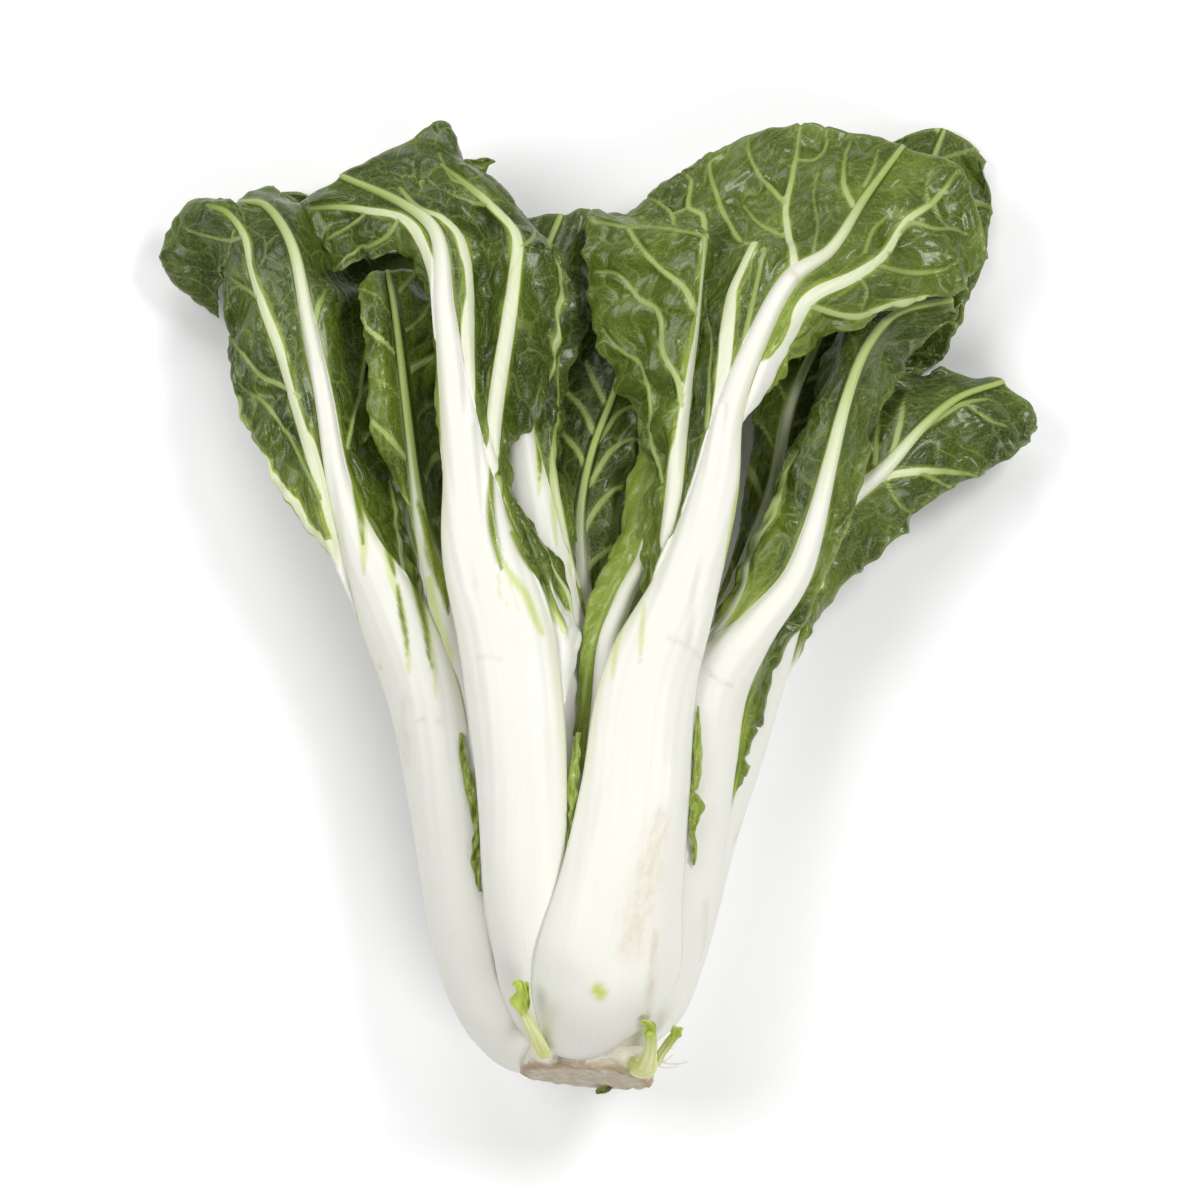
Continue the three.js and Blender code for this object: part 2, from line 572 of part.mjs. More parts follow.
// The stations at which a leaf is sampled: two a step in the round foot, one along the bare
// stalk, and as many as the leaf asks for in the blade.
function sampledStations(leaf) {
  const bladeStart = Math.min(leaf.left.from, leaf.right.from);
  const stations = [];
  let u = 0;
  while (u < leaf.stalk.length - 1) {
    stations.push(u);
    const inBlade = u >= bladeStart;
    u += u < FOOT_STATIONS ? 0.5 : 1 / (inBlade ? leaf.rows : 1);
  }
  return [...stations, leaf.stalk.length - 1];
}

// The leaf as a grid of points on its middle surface, with the thickness at each of them.
function leafGrid(leaf) {
  const wings = [
    { side: -1, wing: leaf.left, curves: seamedCurves(leaf, leaf.left, -1) },
    { side: 1, wing: leaf.right, curves: seamedCurves(leaf, leaf.right, 1) },
  ];
  return sampledStations(leaf).map((u) => {
    const section = stalkSection(leaf, u);
    const stalk = [];
    for (let i = 0; i <= STALK_SEGMENTS; i += 1) {
      const q = 2 * i / STALK_SEGMENTS - 1;
      const share = 1 - (1 - STALK_EDGE) * q * q;
      const thickness = Math.max(section.thickness * share, BLADE_THICKNESS);
      stalk.push({ point: onCrescent(section, q), thickness });
    }
    const edgeThickness = Math.min(stalk[0].thickness, EDGE_THICKNESS);
    const [left, right] = wings.map(({ side, wing, curves }) => (
      acrossWing(leaf, wing, curves, section, u, side).map((point, i, row) => {
        const thickness = THREE.MathUtils.lerp(edgeThickness, BLADE_THICKNESS, (i + 1) / row.length);
        return { point: new THREE.Vector3(...point), thickness };
      })
    ));
    return [...left.reverse(), ...stalk, ...right];
  });
}

// ---- Solids ----------------------------------------------------------------------------------

// The outward direction at each point of a grid.
function gridNormals(grid) {
  const rows = grid.length - 1;
  const columns = grid[0].length - 1;
  return grid.map((row, r) => row.map((_, c) => {
    const sideways = grid[r][Math.min(c + 1, columns)].point.clone();
    sideways.sub(grid[r][Math.max(c - 1, 0)].point);
    const forward = grid[Math.min(r + 1, rows)][c].point.clone();
    forward.sub(grid[Math.max(r - 1, 0)][c].point);
    return sideways.cross(forward).normalize();
  }));
}

// Moves the border of a grid outwards by the given distance.
function widened(grid, by) {
  const rows = grid.length - 1;
  const columns = grid[0].length - 1;
  const moved = grid.map((row) => row.map(({ point, thickness }) => ({ point: point.clone(), thickness })));
  const push = (r, c, inR, inC) => {
    const out = grid[r][c].point.clone().sub(grid[inR][inC].point).normalize();
    moved[r][c].point.addScaledVector(out, by);
  };
  for (let r = 0; r <= rows; r += 1) {
    push(r, 0, r, 2);
    push(r, columns, r, columns - 2);
  }
  for (let c = 0; c <= columns; c += 1) {
    push(0, c, 1, c);
    push(rows, c, rows - 1, c);
  }
  return moved;
}

// A closed solid from a grid: half of the thickness to each side of it. It is joined from strips
// that share their walls, so that a fold that presses on itself closes up. Both faces of a strip
// are split into triangles alike.
function sheetSolid(grid, grow = 0) {
  const sheet = grow > 0 ? widened(grid, grow) : grid;
  const normals = gridNormals(grid);
  const onFace = (r, c, face) => {
    const { point, thickness } = sheet[r][c];
    return point.clone().addScaledVector(normals[r][c], face * (thickness / 2 + grow));
  };
  const strips = [];
  for (let c = 0; c + 1 < sheet[0].length; c += 1) {
    const rings = sheet.map((_, r) => [
      onFace(r, c, 1), onFace(r, c + 1, 1), onFace(r, c + 1, -1), onFace(r, c, -1),
    ]);
    strips.push(stripSolid(rings));
  }
  return wasm.Manifold.union(strips);
}

// One strip from rings of four corners: outer left, outer right, inner right, inner left.
function stripSolid(rings) {
  const triVerts = [];
  const corner = (r, k) => r * 4 + k;
  for (let r = 0; r + 1 < rings.length; r += 1) {
    const s = r + 1;
    triVerts.push(corner(r, 0), corner(r, 1), corner(s, 1), corner(r, 0), corner(s, 1), corner(s, 0));
    triVerts.push(corner(r, 3), corner(s, 2), corner(r, 2), corner(r, 3), corner(s, 3), corner(s, 2));
    triVerts.push(corner(r, 1), corner(r, 2), corner(s, 2), corner(r, 1), corner(s, 2), corner(s, 1));
    triVerts.push(corner(r, 0), corner(s, 3), corner(r, 3), corner(r, 0), corner(s, 0), corner(s, 3));
  }
  const e = rings.length - 1;
  triVerts.push(corner(0, 0), corner(0, 2), corner(0, 1), corner(0, 0), corner(0, 3), corner(0, 2));
  triVerts.push(corner(e, 0), corner(e, 1), corner(e, 2), corner(e, 0), corner(e, 2), corner(e, 3));
  return solid(rings.flat().flatMap((point) => point.toArray()), triVerts);
}

function solid(vertProperties, triVerts) {
  return new wasm.Manifold(new wasm.Mesh({
    numProp: 3,
    vertProperties: Float32Array.from(vertProperties),
    triVerts: Uint32Array.from(triVerts),
  }));
}

// A closed solid from rings of points that all turn the same way, with a flat cap at both ends.
function ringSolid(rings) {
  const sides = rings[0].length;
  const vertProperties = rings.flat().flatMap((point) => point.toArray());
  const triVerts = [];
  for (let r = 0; r + 1 < rings.length; r += 1) {
    for (let i = 0; i < sides; i += 1) {
      const j = (i + 1) % sides;
      const [a, b, c, d] = [r * sides + i, r * sides + j, (r + 1) * sides + j, (r + 1) * sides + i];
      triVerts.push(a, b, c, a, c, d);
    }
  }
  const end = (rings.length - 1) * sides;
  for (let i = 1; i + 1 < sides; i += 1) {
    triVerts.push(0, i + 1, i, end, end + i, end + i + 1);
  }
  return solid(vertProperties, triVerts);
}

// ---- The stem and the side shoots ------------------------------------------------------------

// The stem narrows from the cut face to the neck that the stalks close round.
function stemSolid(grow = 0) {
  const tilt = new THREE.Euler(
    THREE.MathUtils.degToRad(-STEM.faceTilt), 0, THREE.MathUtils.degToRad(STEM.faceSkew),
  );
  const rings = STEM.profile.map(([place, ringRadius], k) => (
    Array.from({ length: STEM.sides }, (_, i) => {
      const angle = 2 * Math.PI * i / STEM.sides;
      const lobes = 1 + STEM.lobes * Math.sin(3 * angle + 1) + STEM.ripples * Math.sin(5 * angle);
      const radius = ringRadius * lobes + grow;
      const end = k === 0 ? -grow : k === STEM.profile.length - 1 ? grow : 0;
      const point = new THREE.Vector3(
        radius * Math.sin(angle), place + end, radius * STEM.flatten * Math.cos(angle),
      );
      return point.applyEuler(tilt).add(STEM.faceCentre);
    })
  ));
  return ringSolid(rings);
}

// A side shoot: a slim stalk that ends in a small crumpled leaf.
function shootSolid({ route, radius, tip }, grow = 0) {
  const { sides, steps, leafFrom, closeFrom, closing, crease, flatness } = SHOOT_FORM;
  const rings = [];
  for (let k = 0; k <= steps; k += 1) {
    const share = k / steps;
    const u = (route.length - 1) * share;
    const here = new THREE.Vector3(...along(route, u));
    const forward = heading(route, u);
    const across = new THREE.Vector3().crossVectors(forward, new THREE.Vector3(0, 0, 1)).normalize();
    const up = new THREE.Vector3().crossVectors(across, forward);
    const leafy = THREE.MathUtils.smoothstep(share, leafFrom, closeFrom);
    const size = 1 - closing * THREE.MathUtils.smoothstep(share, closeFrom, 1);
    rings.push(Array.from({ length: sides }, (_, i) => {
      const angle = 2 * Math.PI * i / sides;
      const wide = THREE.MathUtils.lerp(radius, tip * (i % 2 ? 1 : crease), leafy) * size;
      const high = THREE.MathUtils.lerp(radius, tip * flatness, leafy) * size;
      return here.clone()
        .addScaledVector(across, (wide + grow) * Math.sin(angle))
        .addScaledVector(up, (high + grow) * Math.cos(angle));
    }));
  }
  return ringSolid(rings);
}

// ---- Assembly --------------------------------------------------------------------------------

function closedGeometry(manifold) {
  const { vertProperties, numProp, triVerts } = manifold.getMesh();
  const positions = [];
  for (let i = 0; i < vertProperties.length; i += numProp) {
    positions.push(vertProperties[i], vertProperties[i + 1], vertProperties[i + 2]);
  }
  const geometry = new THREE.BufferGeometry();
  geometry.setAttribute('position', new THREE.Float32BufferAttribute(positions, 3));
  geometry.setIndex(Array.from(triVerts));
  geometry.computeVertexNormals();
  return geometry;
}

// Everything below the surface that the head lies on, as one block.
function belowGround() {
  const { side, depth } = GROUND;
  const block = new THREE.BoxGeometry(side, side, depth).translate(0, 0, -depth / 2);
  block.deleteAttribute('normal');
  block.deleteAttribute('uv');
  const merged = mergeVertices(block);
  return solid(merged.getAttribute('position').array, merged.getIndex().array);
}

function largestBody(manifold) {
  return manifold.decompose().reduce((a, b) => (b.volume() > a.volume() ? b : a));
}

const materials = {
  leaf: new THREE.MeshStandardMaterial({ color: '#6f8f45', roughness: 0.42, metalness: 0 }),
  stem: new THREE.MeshStandardMaterial({ color: '#c2a988', roughness: 0.85, metalness: 0 }),
  shoot: new THREE.MeshStandardMaterial({ color: '#b9cc63', roughness: 0.5, metalness: 0 }),
};

function leafPiece(leaf) {
  const grid = leafGrid(leaf);
  return { name: leaf.name, material: materials.leaf, shape: (grow) => sheetSolid(grid, grow) };
}

function shootPiece(shoot) {
  return { name: shoot.name, material: materials.shoot, shape: (grow) => shootSolid(shoot, grow) };
}

// Each piece gives way to the ones before it in this list, where they would press together.
const pieces = [
  ...LEAVES.slice(0, LEAVES_OVER_STEM).map(leafPiece),
  ...SHOOTS.map(shootPiece),
  { name: 'cut_stem', material: materials.stem, shape: stemSolid },
  ...LEAVES.slice(LEAVES_OVER_STEM).map(leafPiece),
];

const bokChoy = new THREE.Group();
bokChoy.name = 'bok_choy';
const ground = belowGround();
const placed = [];
pieces.forEach((piece) => {
  let body = piece.shape(0).subtract(ground);
  placed.forEach((earlier) => {
    body = body.subtract(earlier);
  });
  placed.push(piece.shape(CLEARANCE));
  const mesh = new THREE.Mesh(closedGeometry(largestBody(body)), piece.material);
  mesh.name = piece.name;
  bokChoy.add(mesh);
});

bokChoy.position.copy(HEAD_SHIFT);

export default bokChoy;
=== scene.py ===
"""Bok choy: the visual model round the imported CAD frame.

Thirteen leaves, three side shoots and the cut stem replace their CAD solids one for one. Each
leaf is a closed shell on the same routes as its solid, with far finer rows and columns, so that
its ribs, veins and puckers are real shape. The routes are in millimetres, like the CAD's; the
objects are in metres, in the CAD's frame.
"""

import math

import bpy
import numpy as np
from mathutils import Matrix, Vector


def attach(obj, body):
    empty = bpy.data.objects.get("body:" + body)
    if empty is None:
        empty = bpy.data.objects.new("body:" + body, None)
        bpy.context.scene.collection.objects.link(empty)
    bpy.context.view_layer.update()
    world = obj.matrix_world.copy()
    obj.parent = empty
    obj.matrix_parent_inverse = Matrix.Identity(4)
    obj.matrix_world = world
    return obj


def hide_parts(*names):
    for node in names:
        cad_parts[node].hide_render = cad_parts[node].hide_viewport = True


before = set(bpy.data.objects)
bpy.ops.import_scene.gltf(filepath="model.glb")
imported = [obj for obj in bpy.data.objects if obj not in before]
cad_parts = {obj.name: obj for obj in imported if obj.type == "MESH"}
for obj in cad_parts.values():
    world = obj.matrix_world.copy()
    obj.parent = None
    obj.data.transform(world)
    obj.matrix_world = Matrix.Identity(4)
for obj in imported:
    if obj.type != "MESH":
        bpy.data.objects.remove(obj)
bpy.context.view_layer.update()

MM = 0.001
HEAD_SHIFT = np.array([0.55, -2.44, 0.0])  # millimetres, the shift that the CAD gives the head

# ---- Camera ----------------------------------------------------------------------------------

VIEW_WIDTH = 0.432       # metres across the picture at the target
VIEW_DISTANCE = 1.6
VIEW_ELEVATION = 84.0    # degrees above the floor, looking along +Y
VIEW_TARGET = Vector((0.00055, -0.00244, 0.035))
SENSOR = 36.0


def add_camera():
    data = bpy.data.cameras.new("camera")
    data.sensor_width = SENSOR
    data.lens = SENSOR * VIEW_DISTANCE / VIEW_WIDTH
    camera = bpy.data.objects.new("camera", data)
    bpy.context.collection.objects.link(camera)
    elevation = math.radians(VIEW_ELEVATION)
    away = Vector((0, -math.cos(elevation), math.sin(elevation)))
    camera.location = VIEW_TARGET + away * VIEW_DISTANCE
    camera.rotation_euler = (-away).to_track_quat("-Z", "Y").to_euler()
    bpy.context.scene.camera = camera


add_camera()

# ---- The leaves' routes ----------------------------------------------------------------------
#
# spacing: millimetres between the points of the finished mesh.
# tone: how light the blade is, from 0 (dark) to 1 (bright).
# white: how far the stalk's white runs out over the left and the right wing.
# midrib_hidden: the share of the midrib's width that has gone green at the tip, and the
#   distances from the tip between which that share falls to nothing.
# stalk: stations (x, y, z, half-width, thickness, roll, curl) from the stem to the tip.
# left, right: (the station a wing starts at, the height of its waves, its curves). A curve has
#   one point for each later station, and the curves run from the stalk out to the margin.
# ribs: (side, (first station, last station), points). Each point is (x, y, half-width), seen
#   from above; the rib lies on the wing of that side between those stations.
# stains, streaks, greens, shades: strokes (strength, points like a rib's) of brown stain, of
#   yellow-green, of blade green, and of painted shade that darkens the blade where shadow falls
#   (lighter where the strength is negative).
# ridges: the same for relief along the stalk, with a height in millimetres for the strength.

WHITE = (14, 14)
MIDRIB_HIDDEN = (0.55, 15, 80)


def line(text):
    """Points from text: numbers with spaces between them, and a comma after each point."""
    return [tuple(map(float, point.split())) for point in text.split(",")]


def wing(start, wave, *curves):
    return start, wave, [line(curve) for curve in curves]


def ribs(side, stations, *lines):
    return [(side, stations, line(points)) for points in lines]


def strokes(*lines):
    """Strokes from lines of text, each its strength, a colon and its points."""
    parts = [text.split(":") for text in lines]
    return [(float(strength), line(points)) for strength, points in parts]


LEAVES = {
    "leaf_front_right": {
        "spacing": 1.25, "tone": 0.55, "white": (12, 0),
        "stalk": line(
            "-2 -162 53 15 7 12 50, 0 -156 71 22.5 8 12 50, 2 -145 82 27 9 12 48, "
            "5 -129 88 27.5 9 12 43, 9 -103 88 23 8 12 38, 13 -73 84 20 8 10 35, "
            "18 -33 79 17.5 7.5 8 33, 30 -1 77 12 7 6 32, 41 35 76 8.3 6.5 4 32, "
            "45 60 76 5.2 6 2 30, 54 85 75 3.8 5 0 30, 67 110 73 2.8 4.5 0 30, "
            "82 122 66 1.9 3.5 0 30, 95 143 55 1.4 2.5 0 30, 110 165 41 0.7 1.2 0 30"),
        "left": wing(6, 0,
            "18 -2 74, 33 33 74, 38 60 74, 44 93 74, 56 123 72, 57 127 57, 68 149 47, 73 173 37",
            "17 -4 72, 29 31 70.5, 32 57 67, 35 82 64, 39 116 63, 48 130 52, 52 147 44, "
            "52 169 35",
            "17 -5 72, 25 32 71, 26 53 71, 28 71 70, 36 126 71, 38 129 55, 36 141 47, 33 158 37",
            "16 -15 69, 21 28 66, 21 50 64, 17 82 63, 17 130 67, 19 133 53, 19 139 45, 19 147 37",
            "15 -21 67, 15 21 61, 16 55 57, -2 95 52, -5 134 57, -3 135 49, -2 136 43, 0 135 37"),
        "right": wing(9, 1.2,
            "63 89 74, 74 102 73, 91 113 67, 109 132 53, 128 158 41",
            "67 86 68, 84 98 65, 104 107 57, 123 126 47, 137 141 39",
            "70 84 62, 91 96 58, 116 107 50, 131 113 43, 140 123 37"),
        "ribs": [
            *ribs(-1, (6, 11),
                  "20 -15 2.6, 24 14 2.5, 27 42 2.3, 30 68 2.2, 33 91 1.8, 35 109 1.3, "
                  "37 126 0.9",
                  "33 28 3, 39 46 2.8, 42 61 2.5, 44 80 2.1, 47 104 1.7, 51 114 1.4, 55 123 1.1",
                  "10 130 0.7, 21 115 0.8, 30 107 0.9, 34 96 1",
                  "-2 116 0.5, 7 114 0.6, 14 105 0.7, 21 100 0.8, 23 85 0.9, 28 73 1, 29 60 1.1",
                  "1 96 0.5, 9 86 0.6, 15 82 0.7, 18 69 0.8, 19 53 0.9, 23 39 1",
                  "37 107 0.5, 40 93 0.6, 39 71 0.7, 38 57 0.8",
                  "58 121 0.6, 55 107 0.7, 52 93 0.8, 50 78 0.9"),
            *ribs(-1, (9, 12),
                  "-3 134 0.45, 8 131 0.5, 22 129 0.5, 36 126 0.6"),
            *ribs(-1, (11, 14),
                  "69 114 1.5, 68 123 1.3, 67 139 1.1, 69 150 0.9, 71 160 0.7, 73 173 0.4",
                  "67 141 0.9, 62 148 0.8, 58 153 0.7, 54 163 0.6, 54 169 0.4",
                  "71 159 0.6, 78 159 0.6, 82 165 0.5, 82 173 0.4",
                  "68 127 0.8, 58 133 0.7, 52 141 0.5",
                  "57 117 1.1, 52 124 0.9, 45 137 0.8, 41 150 0.7, 40 159 0.5, 45 163 0.4",
                  "37 126 1, 37 137 0.9, 32 141 0.8, 33 152 0.6, 29 156 0.4",
                  "26 130 0.8, 26 138 0.7, 22 143 0.6, 17 146 0.5",
                  "26 138 0.6, 32 141 0.5",
                  "91 139 1, 88 147 0.9, 88 154 0.7, 89 161 0.6, 92 170 0.4",
                  "75 114 0.7, 76 121 0.6, 78 132 0.5, 77 145 0.5, 79 154 0.4",
                  "95 147 0.7, 99 156 0.6, 101 164 0.4"),
            *ribs(1, (8, 14),
                  "51 51 1.5, 53 62 3, 57 73 3.8, 61 81 3, 65 87 2.4, 74 103 2, 90 112 1.7, "
                  "101 121 1.4, 110 135 1.2, 120 143 0.9, 129 155 0.6",
                  "73 101 0.9, 89 99 1, 107 105 1.1, 122 108 0.8, 132 113 0.5",
                  "102 121 0.7, 111 134 0.8, 120 133 0.6, 129 134 0.4",
                  "97 117 0.7, 111 116 0.8, 121 118 0.6, 131 123 0.4",
                  "120 143 0.7, 124 135 0.5, 133 132 0.4",
                  "118 142 0.7, 118 150 0.5, 121 158 0.4",
                  "94 121 0.6, 98 131 0.6, 106 139 0.4",
                  "92 112 0.6, 95 107 0.6, 92 100 0.4"),
        ],
        "stains": strokes(
            "0.55: 19 -81 3, 15 -102 5, 11 -118 5, 9 -127 4",
            "0.7: 17 -120 1, 15 -139 1.2, 14 -153 1",
            "0.8: 68 112 1.2, 70 109 1",
            "0.45: 24 -18 1.2, 30 -21 1, 35 -25 0.8",
            "0.35: -14 -145 2, -18 -156 2"),
        "streaks": strokes(
            "1: -1 -139 2.1, 0 -140 2.1",
            "0.7: 51 43 0.8, 48 33 1.3, 46 23 1.3, 44 13 0.9, 43 6 0.4",
            "0.6: 8 -15 0.6, 6 -22 1.1, 5 -32 0.5",
            "0.6: 16 -6 0.5, 15 -17 1, 14 -27 0.4"),
        # painted shade: the shadow in the groove between the blade's flat panel and the stalk
        "painted_shade": strokes(
            "0.35: 43 121 5, 43 96 5, 40 71 5, 33 50 4, 25 14 3"),
        "ridges": strokes(
            "-0.8: 44 64 1.2, 42 50 1.4, 38 28 1.7, 34 3 1.9, 31 -19 1.6",
            "-0.7: 57 76 1.2, 54 62 1.4, 51 46 1.6, 47 21 1.9, 43 -4 1.6",
            "1.1: 14 -154 4, 17 -130 5, 20 -109 5, 22 -91 5, 25 -66 4",
            "0.6: -8 -130 4, -3 -102 4, 4 -73 3"),
    },
    "leaf_front_left": {
        "spacing": 1.1, "tone": 0.28, "white": (8, 40),
        "stalk": line(
            "-13 -161 53 12 7 -25 50, -22 -148 68 15.5 8.5 -28 48, -26 -127 77 16 9 -28 45, "
            "-28 -105 81 16 8.5 -22 42, -28 -76 82 16.5 8 -15 38, -30 -44 81 17.5 8 -8 36, "
            "-34 -15 79 17 7.5 -3 34, -42 14 78 14 7 0 32, -47 42 77 8.5 6.5 0 32, "
            "-51 69 76 5.4 5.5 0 30, -55 100 74 3.3 4.5 0 30, -58 127 68 2.4 3.5 0 30, "
            "-70 140 57 1.6 2.5 0 30, -94 154 41 0.7 1.2 0 30"),
        "left": wing(8, 1,
            "-57 69 74, -58 100 72, -65 125 64, -83 138 50, -106 148 33",
            "-57 69 72, -59 103 68, -69 123 59, -93 130 44, -113 140 29",
            "-58 69 70, -60 107 64, -73 124 54, -93 120 43, -106 126 31"),
        "right": wing(5, 1,
            "-17 -16 74, -26 11 74, -38 45 74, -45 71 74, -48 103 73, -51 125 68, -62 143 57, "
            "-79 161 41",
            "-16 -17 72, -23 10 71, -37 45 73, -41 71 70, -40 100 64, -40 125 61, -53 149 53, "
            "-69 167 39",
            "-14 -17 73, -20 9 72, -36 45 72, -35 77 73, -31 107 72, -31 126 67, -43 146 57, "
            "-58 172 42",
            "-11 -19 71, -17 7 68, -35 45 69, -28 73 66, -21 107 67, -22 125 63, -36 145 54, "
            "-52 161 40",
            "-8 -19 64, -11 2 60, -34 45 64, -21 66 58, -13 102 58, -15 121 57, -31 138 50, "
            "-47 150 39"),
        "ribs": [
            *ribs(-1, (8, 13),
                  "-55 90 2.1, -58 110 2, -64 127 1.8, -71 135 1.5, -83 139 1.2, -94 142 0.9, "
                  "-105 143 0.6",
                  "-71 135 0.8, -76 129 0.7, -87 125 0.6, -96 121 0.5",
                  "-83 139 0.7, -91 134 0.6, -99 131 0.5"),
            *ribs(1, (6, 13),
                  "-47 64 2.2, -47 78 2.1, -47 108 1.9, -50 125 1.6, -56 133 1.3, -65 138 0.9, "
                  "-72 147 0.6",
                  "-39 42 2.4, -37 64 2.2, -33 90 2, -30 113 1.7, -30 127 1.4, -39 139 1.1, "
                  "-48 148 0.8, -57 156 0.5",
                  "-19 64 0.9, -16 90 1, -15 112 0.9, -19 125 0.7, -26 138 0.5",
                  "-30 121 0.7, -24 127 0.6, -25 134 0.4",
                  "-39 139 0.7, -46 141 0.6, -57 145 0.5, -62 151 0.4",
                  "-48 148 0.7, -53 150 0.5, -58 161 0.4"),
            *ribs(1, (5, 9),
                  "-30 -19 2.2, -32 -6 2.2, -35 6 1.6, -37 17 1",
                  "-17 -19 2.6, -20 -5 2.5, -27 5 2, -33 15 1.5, -35 26 1.1, -36 39 0.8"),
            *ribs(1, (4, 9),
                  "-15 -30 2.2, -11 -21 2, -10 -11 1.6, -12 -1 1.3, -17 7 1.1, -20 14 0.9, "
                  "-25 23 0.7, -30 32 0.5"),
            *ribs(1, (5, 9),
                  "-16 7 0.6, -20 19 0.6, -26 28 0.5"),
        ],
        "stains": strokes(
            "0.5: -42 -25 0.7, -38 -25 0.7, -34 -26 0.6",
            "0.5: -33 -150 1, -37 -138 0.9, -39 -120 0.7"),
        "streaks": strokes(
            "0.75: -35 9 0.7, -32 4 1.3, -27 -3 1.6, -24 -10 1.6, -21 -17 0.9",
            "0.7: -22 3 0.6, -18 -3 1.1, -15 -10 1.1, -13 -16 0.6",
            "0.4: -36 5 0.5, -35 -3 0.6, -33 -7 0.4",
            "0.35: -33 3 0.4, -29 -8 0.5, -26 -17 0.3"),
        "greens": strokes(
            "1: -39 42 0.8, -39 28 1.5, -38 19 1.5, -36 10 1.1, -35 6 0.5",
            "1: -35 41 1.2, -33 33 1.8, -31 25 2.6, -28 18 2.4, -25 14 1.6",
            "1: -31 19 1.6, -28 12 1.5, -25 7 1, -22 4 0.5",
            "1: -22 15 2.4, -18 7 1.8, -14 0 1.4, -11 -6 0.8"),
        "ridges": strokes(
            "-0.6: -49 102 1.2, -48 82 1.3, -48 57 1.5, -47 28 1.7, -44 -1 1.6",
            "-0.7: -44 57 1.2, -42 39 1.4, -40 17 1.6",
            "0.7: -19 -109 4, -20 -80 4, -24 -51 4",
            "0.6: -35 -138 4, -37 -109 4, -39 -73 4"),
    },
    "leaf_left": {
        "spacing": 1.15, "tone": 0.3, "white": (22, 26),
        "stalk": line(
            "-19 -163 43 12 7 -70 50, -38 -157 45 17 8.5 -68 48, -49 -139 47 19 9 -65 46, "
            "-54 -116 49 19.5 9 -60 44, -58 -84 50 19 8.5 -52 42, -62 -55 51 18.5 8 -44 40, "
            "-67 -30 52 16.5 7.5 -34 38, -77 -4 53 13 6.5 -24 36, -87 19 54 7 6 -16 34, "
            "-94 42 54 4 5.5 -10 32, -99 71 54 3 5 -6 30, -105 100 53 2.3 4.5 -4 30, "
            "-111 127 49 1.8 3.5 0 30, -121 143 39 1.3 2.5 0 30, -132 147 27 0.7 1.2 0 30"),
        "left": wing(7, 2,
            "-96 17 53, -102 42 54, -106 71 54, -117 95 52, -124 121 47, -134 141 37, "
            "-151 147 25",
            "-96 16 51.5, -107 41 50, -115 68 47, -125 96 45, -129 121 41, -141 135 31, "
            "-161 127 16",
            "-97 15 50, -111 32 47, -124 57 43, -133 80 39, -136 107 35, -138 121 27, "
            "-140 106 10"),
        "right": wing(6, 1,
            "-64 -5 54, -78 18 53, -88 43 51, -93 71 51, -99 101 51, -106 125 47, -114 143 39, "
            "-125 151 27",
            "-62 -9 53, -74 13 52, -83 37 48, -86 64 41, -91 93 39, -95 116 35, -104 138 31, "
            "-116 150 22",
            "-60 -13 51, -69 9 46, -76 35 40, -78 62 35, -82 91 33, -87 111 31, -96 132 24, "
            "-107 147 16",
            "-56 -19 49, -64 3 44, -71 33 40, -71 57 38, -72 82 36, -76 107 32, -89 129 22, "
            "-100 143 14"),
        "ribs": [
            *ribs(-1, (7, 14),
                  "-93 14 2, -97 28 1.9, -100 41 1.8, -105 57 1.8, -109 70 1.7, -114 87 1.6, "
                  "-120 103 1.5, -125 118 1.3, -128 131 1.1, -135 141 0.8, -143 145 0.5",
                  "-107 71 0.9, -114 76 0.9, -121 80 0.8, -129 89 0.6, -134 95 0.5",
                  "-121 106 0.8, -127 112 0.7, -134 117 0.5",
                  "-89 5 1.6, -96 17 1.7, -104 26 1.7, -112 37 1.6, -121 49 1.5, -127 60 1.2, "
                  "-130 73 0.8",
                  "-99 33 0.7, -107 50 0.7, -112 59 0.7, -121 71 0.6, -130 78 0.4",
                  "-128 131 0.7, -134 131 0.6, -143 134 0.5, -152 138 0.4",
                  "-132 134 0.6, -135 125 0.5, -141 118 0.4"),
            *ribs(1, (6, 14),
                  "-103 96 1, -101 105 0.7, -99 114 0.4",
                  "-91 53 0.9, -88 71 0.9, -85 89 0.8, -82 104 0.6",
                  "-64 -30 2.2, -67 -15 2, -69 -1 1.7, -72 14 1.3, -74 28 0.9, -77 42 0.6",
                  "-58 -37 1.8, -60 -19 1.7, -63 -3 1.4, -66 12 1, -69 23 0.7",
                  "-51 -39 1.5, -54 -15 1.4, -58 3 1, -62 14 0.6",
                  "-85 57 0.6, -80 64 0.6, -74 69 0.4",
                  "-88 73 0.6, -81 81 0.5, -75 85 0.4"),
        ],
        "stains": strokes(
            "0.8: -77 -24 0.7, -76 -25 0.6",
            "0.7: -62 -45 0.9, -60 -45 0.8",
            "0.7: -56 -46 0.8, -55 -46 0.7",
            "0.35: -67 -37 2, -65 -58 2",
            "0.6: -47 -62 0.6, -48 -63 0.6"),
        "streaks": strokes(
            "0.6: -88 44 1.6, -86 32 1.8, -84 19 1.5, -83 8 0.6",
            "0.6: -79 30 1.4, -76 17 1.9, -74 6 1.4, -72 -1 0.6",
            "0.6: -72 2 1, -69 -10 1.3, -67 -21 1, -66 -28 0.5",
            "0.6: -68 12 1.9, -64 -3 1.9, -61 -15 1.4, -58 -28 0.9, -57 -39 0.4"),
        "greens": strokes(
            "1: -89 50 1.2, -87 35 1.3, -85 24 1, -84 18 0.5",
            "1: -80 33 1.1, -77 22 1.4, -75 13 1.1, -73 6 0.5",
            "1: -72 3 0.6, -70 -7 0.9, -68 -15 0.7, -67 -21 0.4",
            "1: -69 15 1.6, -65 0 1.5, -62 -12 1.1, -60 -23 0.6, -58 -31 0.3"),
        "ridges": strokes(
            "-0.6: -101 82 1.2, -98 64 1.3, -95 42 1.5, -91 14 1.7, -86 -15 1.6",
